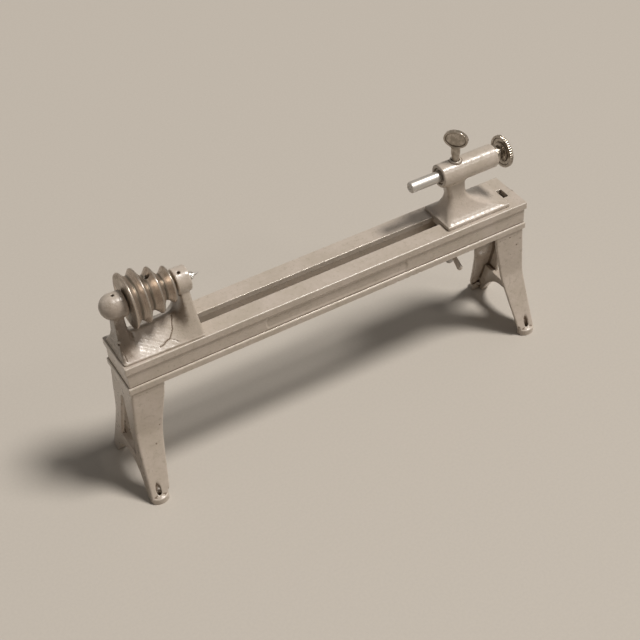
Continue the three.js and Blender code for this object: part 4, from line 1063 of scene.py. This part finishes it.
def spur_field(points):
    """The driving centre: shank, small hub, point, and two crossed blades that thin out forwards."""
    x, y, z = np.moveaxis(points, -1, 0)
    up = z - AXIS
    ring = np.hypot(y, up)
    body = join(rod(y, up, x, 1.8, 63.7, 76.0, 0.2), rod(y, up, x, 2.5, 75.5, 76.6, 0.2), 0.1)
    cone = (ring - np.interp(x, [78.4, 79.0, 84.0], [1.8, 1.7, 0.05])) * 0.94
    body = join(body, meet(cone, span(x, 76.0, 84.0)), 0.2)
    edge = np.interp(x, [75.5, 76.4, 78.4], [4.4, 4.4, 2.6])
    cross = np.minimum(np.abs(y), np.abs(up)) - 0.6
    blades = meet(cross, meet((ring - edge) * 0.8, span(x, 75.5, 78.4), 0.15), 0.15)
    return join(body, blades, 0.35)


def lever_field(points):
    """The clamp lever: a round hub on the bolt and a sloping arm that thickens to a round end."""
    x, y, z = np.moveaxis(points, -1, 0)
    middle, hub_top = np.array([0, 0, 105.9]), 111.4
    way = np.array([1.4, -15.0, -12.4])
    share = np.clip(((points - middle) @ way) / (way @ way), 0, 1)
    gap = points - middle - share[..., None] * way
    arm = np.sqrt((gap * gap).sum(-1)) - (2.2 + 0.5 * share ** 2)
    hub = rod(x, y, z, 6.8, 100.4, hub_top, 1.3)
    body = join(hub, arm, 2.0) + unevenness(points, 0.08)
    return carve(meet(body, z - hub_top, 0.4), np.hypot(x, y) - BOLT_HOLE, 0.4)


def clamp_plate_field(points):
    """The clamp plate under the bed: a plate with a raised tongue between the bed's walls."""
    x, y, z = np.moveaxis(points, -1, 0)
    ends, top = (-12, 12), BED_BOTTOM - GAP
    plate = block(x, ends, y, 20.1, z, (top - 3.2, top), 1.0, 0.6)
    tongue = block(x, ends, y, 18.2, z, (top - 1, top + 3.5), 1.0, 0.6)
    return carve(join(plate, tongue), np.hypot(x, y) - BOLT_HOLE, 0.3)


def threaded_bolt(radius, bottom, top, thread_end):
    """An upright bolt, threaded at its foot: its radius falls and rises along a helix, 1 mm a turn."""
    profile = rounded([
        [bottom, 0, 0], [bottom, radius - 0.7, 0.2], [bottom + 0.7, radius, 0.2],
        [top, radius, 0.2], [top, 0, 0],
    ], 0.125)
    points, quads, triangles = turned(profile, 32, 0.0)
    x, y, z = points.T
    angle = np.arctan2(y, z)
    wave = np.abs(((x - bottom) - angle / (2 * math.pi)) % 1.0 - 0.5) * 2
    held = soft_step(x, bottom + 0.2, bottom + 0.8) * (1 - soft_step(x, thread_end - 0.5, thread_end))
    radial = np.hypot(y, z)
    shrink = 1 - 0.5 * wave * held * (radial > radius - 0.1) / np.maximum(radial, 0.1)
    return np.stack([y * shrink, z * shrink, x], -1), quads, triangles


class LatheSizes(PropertyGroup):
    """Sizes of the surfaces that the frame leaves open."""

    casting_step: FloatProperty(
        name="Casting step", description="Distance between the points of a casting's surface",
        default=0.00062, min=0.0003, max=0.002, unit="LENGTH")
    leg_step: FloatProperty(
        name="Leg step", description="Distance between the points of a leg's surface",
        default=0.0007, min=0.0004, max=0.002, unit="LENGTH")
    bed_edge: FloatProperty(
        name="Bed edge", description="Radius of the bed's lower edges",
        default=0.0005, min=0.0001, max=0.001, unit="LENGTH")
    bevel: FloatProperty(
        name="Screw bevel", description="Width of the bevel on screws and bolts",
        default=0.0002, min=0.00005, max=0.0005, unit="LENGTH")
    knurl_depth: FloatProperty(
        name="Knurl depth", description="Depth of the handwheel's teeth",
        default=0.0005, min=0.0, max=0.001, unit="LENGTH")


def colour_property(name, description, default):
    return FloatVectorProperty(name=name, description=description, default=default, size=3, min=0, max=1,
                               subtype="COLOR")


class LatheColours(PropertyGroup):
    """Colours of the finishes."""

    enamel: colour_property("Enamel", "Warm grey enamel of the castings", (0.5, 0.428, 0.367))
    # The colour of the darkening: painted shade with grime in the castings' corners, and painted shadow
    # with old oil on the headstock's patches.
    darkening: colour_property("Dirt", "Dirt in the corners of the castings", (0.13, 0.088, 0.055))
    # Lighter edges of the castings: rubbed enamel and a painted highlight.
    rubbed_edge_sheen: colour_property("Worn edge", "Enamel rubbed thin and bright on the edges", (0.72, 0.66, 0.57))
    bare_iron: colour_property("Bare iron", "Iron where the enamel is chipped", (0.2, 0.16, 0.13))
    iron: colour_property("Turned iron", "Iron of the cone pulley", (0.47, 0.405, 0.35))
    rust: colour_property("Brown stain", "Brown stain on bare iron", (0.19, 0.12, 0.075))
    steel: colour_property("Steel", "Bright steel of the quill and the spindle", (0.38, 0.345, 0.305))
    nickel: colour_property("Nickel", "Plating of the handwheel and the thumb screw", (0.42, 0.375, 0.33))
    bronze: colour_property("Bronze", "Bushes of the spindle", (0.5, 0.33, 0.14))
    tarnish: colour_property("Tarnish", "Dark film in the corners of bright metal", (0.14, 0.11, 0.085))
    floor: colour_property("Floor", "Plain floor under the lathe", (0.52, 0.475, 0.42))
    backdrop: colour_property("Backdrop", "Plain background beyond the floor", (0.49, 0.445, 0.39))


class LatheLight(PropertyGroup):
    """Strength of the studio light."""

    key: FloatProperty(
        name="Key light", description="Strength of the soft even light from above the front right",
        default=2.9, min=0.0, max=20.0)
    fill: FloatProperty(
        name="Fill light", description="Power of the low warm lamp in front",
        default=0.3, min=0.0, max=200.0, unit="POWER")
    spot: FloatProperty(
        name="Spot light", description="Power of the small lamp at the front right, for bright streaks",
        default=1.2, min=0.0, max=200.0, unit="POWER")
    sky: FloatProperty(
        name="Sky", description="Strength of the light from all round",
        default=0.13, min=0.0, max=2.0)


class LATHE_OT_bed(Operator):
    """The hollow bed with its slot, sunk panels, bare cartouche and bosses"""

    bl_idname = "lathe.bed"
    bl_label = "Bed"

    def execute(self, context):
        sizes = context.scene.lathe_sizes
        points, quads = bed_shape(sizes.bed_edge * MM)
        more, more_quads, triangles = boss_shapes()
        shape = (
            np.concatenate([points, more]),
            np.concatenate([quads, more_quads + len(points)]),
            triangles + len(points),
        )
        add_piece("bed_casting", shape, finish("smooth_enamel"), "frame", ["bed"],
                  rounds=3, crisp=50)
        return {"FINISHED"}


class LATHE_OT_legs(Operator):
    """The two cast legs, the right one turned end for end"""

    bl_idname = "lathe.legs"
    bl_label = "Legs"

    def execute(self, context):
        step = context.scene.lathe_sizes.leg_step * MM
        reach = HALF + 23.5
        left, quads = skin(leg_field, (-6, -reach, -1), (33, reach, LEG_TOP + 1), step)
        right = np.array([LENGTH, 0, 0]) + left * (-1, -1, 1)
        for node, points in (("left_leg", left), ("right_leg", right)):
            add_piece(node + "_casting", (points, quads), finish("smooth_enamel"), "frame", [node])
        return {"FINISHED"}


class LATHE_OT_headstock(Operator):
    """The headstock casting with its posts, barrels and bores"""

    bl_idname = "lathe.headstock"
    bl_label = "Headstock"

    def execute(self, context):
        step = context.scene.lathe_sizes.casting_step * MM
        shape = skin(head_field, (-5, -24, WAY_TOP - 4), (75.5, 24, AXIS + 12.5), step)
        add_piece("headstock_casting", shape, finish("oil_and_shade_enamel"), "frame", ["headstock"])
        return {"FINISHED"}


class LATHE_OT_bearings(Operator):
    """The spindle's two bronze bushes and its thrust ball"""

    bl_idname = "lathe.bearings"
    bl_label = "Bearings"

    def execute(self, context):
        for node, start, end in (("left_bearing_bush", 4.7, 17.4), ("right_bearing_bush", 60.8, 73.0)):
            shape = skin(lambda points: bush_field(points, start, end, *OIL_HOLES[node]),
                         (start - 1, -8, AXIS - 8), (end + 1, 8, AXIS + 8), 0.3)
            add_piece(node + "_ring", shape, finish("bearing_bronze"), "frame", [node])
        softened("thrust_ball", finish("bright_steel"), "frame", 0.05)
        return {"FINISHED"}


class LATHE_OT_spindle(Operator):
    """The spindle and the driving centre in its nose"""

    bl_idname = "lathe.spindle"
    bl_label = "Spindle"

    def execute(self, context):
        steel = finish("bright_steel")
        profile = rounded([
            [5.4, 0, 0], [5.4, 5.0, 0.7], [73.3, 5.0, 0.3], [73.3, 4.2, 0.15], [75.4, 4.2, 0.35],
            [75.4, 1.9, 0.3], [63.4, 1.9, 0.2], [63.4, 0, 0],
        ], 0.8)
        add_piece("spindle_bar", turned(profile, 72), steel, "spindle", ["spindle"],
                  crisp=50)
        shape = skin(spur_field, (63, -5, AXIS - 5), (84.6, 5, AXIS + 5), 0.2)
        add_piece("spur_centre_point", shape, steel, "spindle", ["spur_centre"])
        return {"FINISHED"}


class LATHE_OT_pulley(Operator):
    """The cone pulley with the well of its set screw"""

    bl_idname = "lathe.pulley"
    bl_label = "Cone pulley"

    def execute(self, context):
        add_piece("cone_pulley_turning", pulley_shape(), finish("turned_iron"), "spindle", ["cone_pulley"],
                  rounds=1, crisp=60)
        softened("pulley_set_screw", finish("turned_iron"), "spindle", 0.1)
        return {"FINISHED"}


class LATHE_OT_tailstock(Operator):
    """The tailstock casting with its barrel"""

    bl_idname = "lathe.tailstock"
    bl_label = "Tailstock"

    def execute(self, context):
        step = context.scene.lathe_sizes.casting_step * MM
        shape = skin(tail_field, (-16.5, -21, WAY_TOP - 6), (53, 21, AXIS + 13), step)
        add_piece("tailstock_casting", shape, finish("warm_grey_enamel"), "tailstock", ["tailstock"],
                  CARRIAGE)
        return {"FINISHED"}


class LATHE_OT_quill(Operator):
    """The polished quill with its keyway, and its cup centre"""

    bl_idname = "lathe.quill"
    bl_label = "Quill"

    def execute(self, context):
        steel = finish("bright_steel")
        profile = rounded([
            [-34.9, 0, 0], [-34.9, 2.3, 0.2], [-44.0, 2.3, 0.3], [-44.0, 4.3, 0.25], [-43.2, 5.1, 0.3],
            [20.4, 5.1, 0.4], [20.4, 2.8, 0.3], [-27.6, 2.8, 0.2], [-27.6, 0, 0],
        ], 0.7)
        fine = np.radians(np.linspace(150, 210, 49))
        rest = np.radians(np.linspace(-150, 150, 81)[1:-1])
        points, quads, triangles = turned(profile, np.concatenate([rest, fine]))
        x, y, z = points.T
        keyway = AXIS - 3.7
        slot = (np.abs(y) < 1.2) & (x > -16.6) & (z < keyway)
        points[:, 2] = np.where(slot, keyway, z)
        add_piece("quill_bar", (points, quads, triangles), steel, "quill", ["quill"],
                  CARRIAGE, crisp=50)
        cup = rounded([
            [-44.6, 0, 0], [-44.5, 0.35, 0.1], [-43.2, 1.2, 0.4], [-43.5, 2.2, 0.6],
            [-44.7, 3.15, 0.2], [-44.1, 3.6, 0.2], [-44.1, 2.2, 0.1], [-35.0, 2.2, 0.2],
            [-35.0, 0, 0],
        ], 0.4)
        add_piece("cup_centre_plug", turned(cup, 48), steel, "quill", ["cup_centre"],
                  CARRIAGE, rounds=1, crisp=50)
        return {"FINISHED"}


class LATHE_OT_handwheel(Operator):
    """The knurled handwheel, its feed screw and its pin"""

    bl_idname = "lathe.handwheel"
    bl_label = "Handwheel"

    def execute(self, context):
        depth = context.scene.lathe_sizes.knurl_depth * MM
        start, wheel, end, teeth = 43.4, 52.4, 58.2, 40
        section = rounded([
            [start, 3.4, 0.2], [start, 8.0, 0.5], [start + 3.6, 8.0, 0.4], [start + 4.1, 6.4, 0.4],
            [wheel - 1.6, 6.4, 0.5], [wheel - 0.5, 8.6, 0.3], [wheel - 0.5, 9.0, 0.2],
            [wheel + 0.9, 9.0, 0.3], [wheel + 0.9, 12.6, 0.4], [wheel, 13.1, 0.3],
            [wheel, 15.0, 0.5], [wheel + 3.5, 15.0, 0.5], [wheel + 3.5, 13.1, 0.3],
            [wheel + 2.6, 12.6, 0.4], [wheel + 2.6, 5.6, 0.4], [end, 5.6, 0.5], [end, 3.4, 0.2],
        ], 0.45, closed=True, arc=3)
        points, faces, _ = turned(section, 320, closed=True)
        _, y, z = points.T
        radial = np.hypot(y, z - AXIS)
        angle = np.arctan2(y, z - AXIS)
        tooth = np.abs(np.sin(teeth / 2 * angle)) ** 0.7
        held = soft_step(radial, 14.2, 14.8)
        shrink = 1 - depth * (1 - tooth) * held / np.maximum(radial, 1)
        points[:, 1] = y * shrink
        points[:, 2] = AXIS + (z - AXIS) * shrink
        nickel = finish("bright_nickel")
        add_piece("handwheel_disc", (points, faces), nickel, "handwheel", ["handwheel"],
                  CARRIAGE, rounds=1, crisp=60)
        steel = finish("bright_steel")
        softened("feed_screw", steel, "handwheel", 0.2)
        softened("handwheel_pin", steel, "handwheel", 0.15)
        return {"FINISHED"}


class LATHE_OT_thumb_screw(Operator):
    """The thumb screw with its oval dished head"""

    bl_idname = "lathe.thumb_screw"
    bl_label = "Thumb screw"

    def execute(self, context):
        shape = skin(thumb_field, (-9, -12, AXIS + 4.5), (16, 12, AXIS + 42), 0.3)
        add_piece("thumb_screw_head", shape, finish("bright_nickel"), "thumb_screw", ["thumb_screw"],
                  CARRIAGE)
        return {"FINISHED"}


class LATHE_OT_clamp(Operator):
    """The tailstock's clamp: bolt, plate, washer and lever"""

    bl_idname = "lathe.clamp"
    bl_label = "Clamp"

    def execute(self, context):
        shape = threaded_bolt(3.4, BED_BOTTOM - 25.6, SEAT + 15.0, BED_BOTTOM - 4)
        add_piece("tailstock_clamp_bolt_bar", shape, finish("bright_steel"), "tailstock",
                  ["tailstock_clamp_bolt"], CARRIAGE, rounds=0, crisp=60)
        shape = skin(clamp_plate_field, (-14, -22, BED_BOTTOM - 5), (14, 22, BED_BOTTOM + 5), 0.5)
        add_piece("tailstock_clamp_plate_bar", shape, finish("turned_iron"), "tailstock",
                  ["tailstock_clamp_plate"], CARRIAGE)
        softened("tailstock_clamp_washer", finish("bright_steel"), "tailstock", 0.3)
        shape = skin(lever_field, (-8, -20, 88), (8, 8, 112.5), 0.4)
        add_piece("clamp_lever_arm", shape, finish("warm_grey_enamel"), "clamp_lever", ["clamp_lever"],
                  CARRIAGE)
        return {"FINISHED"}


class LATHE_OT_fasteners(Operator):
    """The leg screws, the headstock's clamp plate and bolts, and the quill's dog"""

    bl_idname = "lathe.fasteners"
    bl_label = "Fasteners"

    def execute(self, context):
        width = context.scene.lathe_sizes.bevel * MM
        steel = finish("bright_steel")
        for end in ("left", "right"):
            for side in ("front", "back"):
                softened(f"leg_screw_{end}_{side}", steel, "frame", width)
        for node in ("headstock_bolt_left", "headstock_bolt_right", "headstock_clamp_plate"):
            softened(node, steel, "frame", width)
        softened("quill_dog", steel, "tailstock", width)
        return {"FINISHED"}


class LATHE_OT_stage(Operator):
    """The plain floor, the studio light and the camera"""

    bl_idname = "lathe.stage"
    bl_label = "Stage"

    def execute(self, context):
        scene = context.scene
        light, colours = scene.lathe_light, scene.lathe_colours
        self.add_floor(tuple(colours.floor))
        self.add_lamp("key_lamp", (0.64, -0.38, 1.58), 0.25, light.key, (1.0, 0.97, 0.93), even=True)
        self.add_lamp("spot_lamp", (0.8, -0.95, 1.05), 0.16, light.spot, (1.0, 0.96, 0.9))
        self.add_lamp("fill_lamp", (-0.5, -1.25, 0.25), 0.9, light.fill, (1.0, 0.68, 0.45))
        self.light_world(light.sky, tuple(colours.backdrop))
        self.add_camera(scene)
        scene.view_settings.view_transform = "Standard"
        return {"FINISHED"}

    def add_floor(self, colour):
        """A square of 80 m, its points on a grid of two parameters."""
        side = np.linspace(-40, 40, 9)
        x, y = np.meshgrid(side, side, indexing="ij")
        points = np.stack([x, y, 0 * x], -1).reshape(-1, 3)
        quads = grid_faces(len(side), len(side), columns_close=False)
        mesh = bpy.data.meshes.new("floor")
        mesh.from_pydata(points.tolist(), [], quads.tolist())
        mesh.update()
        floor = bpy.data.objects.new("floor", mesh)
        bpy.context.scene.collection.objects.link(floor)
        f = Finish(bpy.data.materials.new("pale_floor"))
        grain = f.noise(f.place(), 0.4, 3.0)
        shade = f.blend(f.rise(grain, 0.3, 0.7), tint(colour, 0.985), tint(colour, 1.015))
        mesh.materials.append(f.surface(Base_Color=shade, Roughness=0.6, Specular_IOR_Level=0.3))

    def add_lamp(self, name, place, size, power, colour, even=False):
        """A lamp that looks at the middle of the lathe: a disk with its size in metres.

        An even one lights everything from the same side, and its size is an angle in radians.
        """
        middle = Vector((0, 0, 0.12))
        data = bpy.data.lights.new(name, "SUN" if even else "AREA")
        if even:
            data.angle = size
        else:
            data.shape = "DISK"
            data.size = size
        data.energy = power
        data.color = colour
        lamp = bpy.data.objects.new(name, data)
        lamp.location = place
        lamp.rotation_euler = (middle - Vector(place)).to_track_quat("-Z", "Y").to_euler()
        bpy.context.scene.collection.objects.link(lamp)

    def light_world(self, strength, backdrop):
        """Soft light from all round, strongest from above and the right, and a plain backdrop.

        The camera sees the backdrop, and so do reflections. Everything else gets the soft light.
        """
        bpy.context.scene.world = bpy.data.worlds.new("studio")
        f = Finish(bpy.context.scene.world)
        where = f.node("ShaderNodeTexCoord", output="Generated")
        brightest = (0.55, 0.1, 0.83)
        towards = f.node("ShaderNodeVectorMath", {"operation": "DOT_PRODUCT"},
                         {0: where, 1: brightest}, "Value")
        power = (towards + 0.7).at_least(0.0) * (0.75 * strength) + 0.3 * strength
        soft = f.node("ShaderNodeBackground", None, {"Color": (1.0, 0.98, 0.95), "Strength": power})
        plain = f.node("ShaderNodeBackground", None, {"Color": backdrop, "Strength": 1.0})
        kinds = ("Camera", "Glossy", "Transmission")
        rays = [f.node("ShaderNodeLightPath", output=f"Is {kind} Ray") for kind in kinds]
        seen = rays[0].at_least(rays[1]).at_least(rays[2])
        mixed = f.node("ShaderNodeMixShader", None, {0: seen, 1: soft, 2: plain})
        f.end("ShaderNodeOutputWorld", mixed)

    def add_camera(self, scene):
        """The camera looks down on the lathe from its front left."""
        data = bpy.data.cameras.new("camera")
        data.sensor_width = 36.0
        data.lens = 72.44
        camera = bpy.data.objects.new("camera", data)
        right = (0.86304, -0.50319, -0.04439)
        up = (0.36959, 0.5691, 0.73453)
        back = (-0.34434, -0.65033, 0.67713)
        place = (-0.40537, -0.75075, 0.86816)
        turn = Matrix((right, up, back)).transposed().to_4x4()
        camera.matrix_world = Matrix.Translation(place) @ turn
        scene.collection.objects.link(camera)
        scene.camera = camera


PIECES = (
    LATHE_OT_bed, LATHE_OT_legs, LATHE_OT_headstock, LATHE_OT_bearings, LATHE_OT_spindle, LATHE_OT_pulley,
    LATHE_OT_tailstock, LATHE_OT_quill, LATHE_OT_handwheel, LATHE_OT_thumb_screw, LATHE_OT_clamp,
    LATHE_OT_fasteners, LATHE_OT_stage,
)


class LATHE_PT_pieces(Panel):
    """Lists the lathe's pieces and the settings that they use"""

    bl_idname = "LATHE_PT_pieces"
    bl_label = "Bench lathe"
    bl_space_type = "VIEW_3D"
    bl_region_type = "UI"
    bl_category = "Lathe"

    def draw(self, context):
        column = self.layout.column()
        for operator in PIECES:
            column.operator(operator.bl_idname)
        scene = context.scene
        for group in (scene.lathe_sizes, scene.lathe_colours, scene.lathe_light):
            for name in group.__annotations__:
                column.prop(group, name)


CLASSES = (LatheSizes, LatheColours, LatheLight) + PIECES + (LATHE_PT_pieces,)


def register():
    for kind in CLASSES:
        bpy.utils.register_class(kind)
    bpy.types.Scene.lathe_sizes = PointerProperty(type=LatheSizes)
    bpy.types.Scene.lathe_colours = PointerProperty(type=LatheColours)
    bpy.types.Scene.lathe_light = PointerProperty(type=LatheLight)


def unregister():
    del bpy.types.Scene.lathe_light
    del bpy.types.Scene.lathe_colours
    del bpy.types.Scene.lathe_sizes
    for kind in reversed(CLASSES):
        bpy.utils.unregister_class(kind)


def main():
    """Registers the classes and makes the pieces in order."""
    register()
    for entry in frame["record"]["materials"]:
        finish(SLOT_FINISHES[entry["slot"]])
    for operator in PIECES:
        getattr(bpy.ops.lathe, operator.bl_idname.split(".")[1])()


if __name__ == "__main__":
    main()
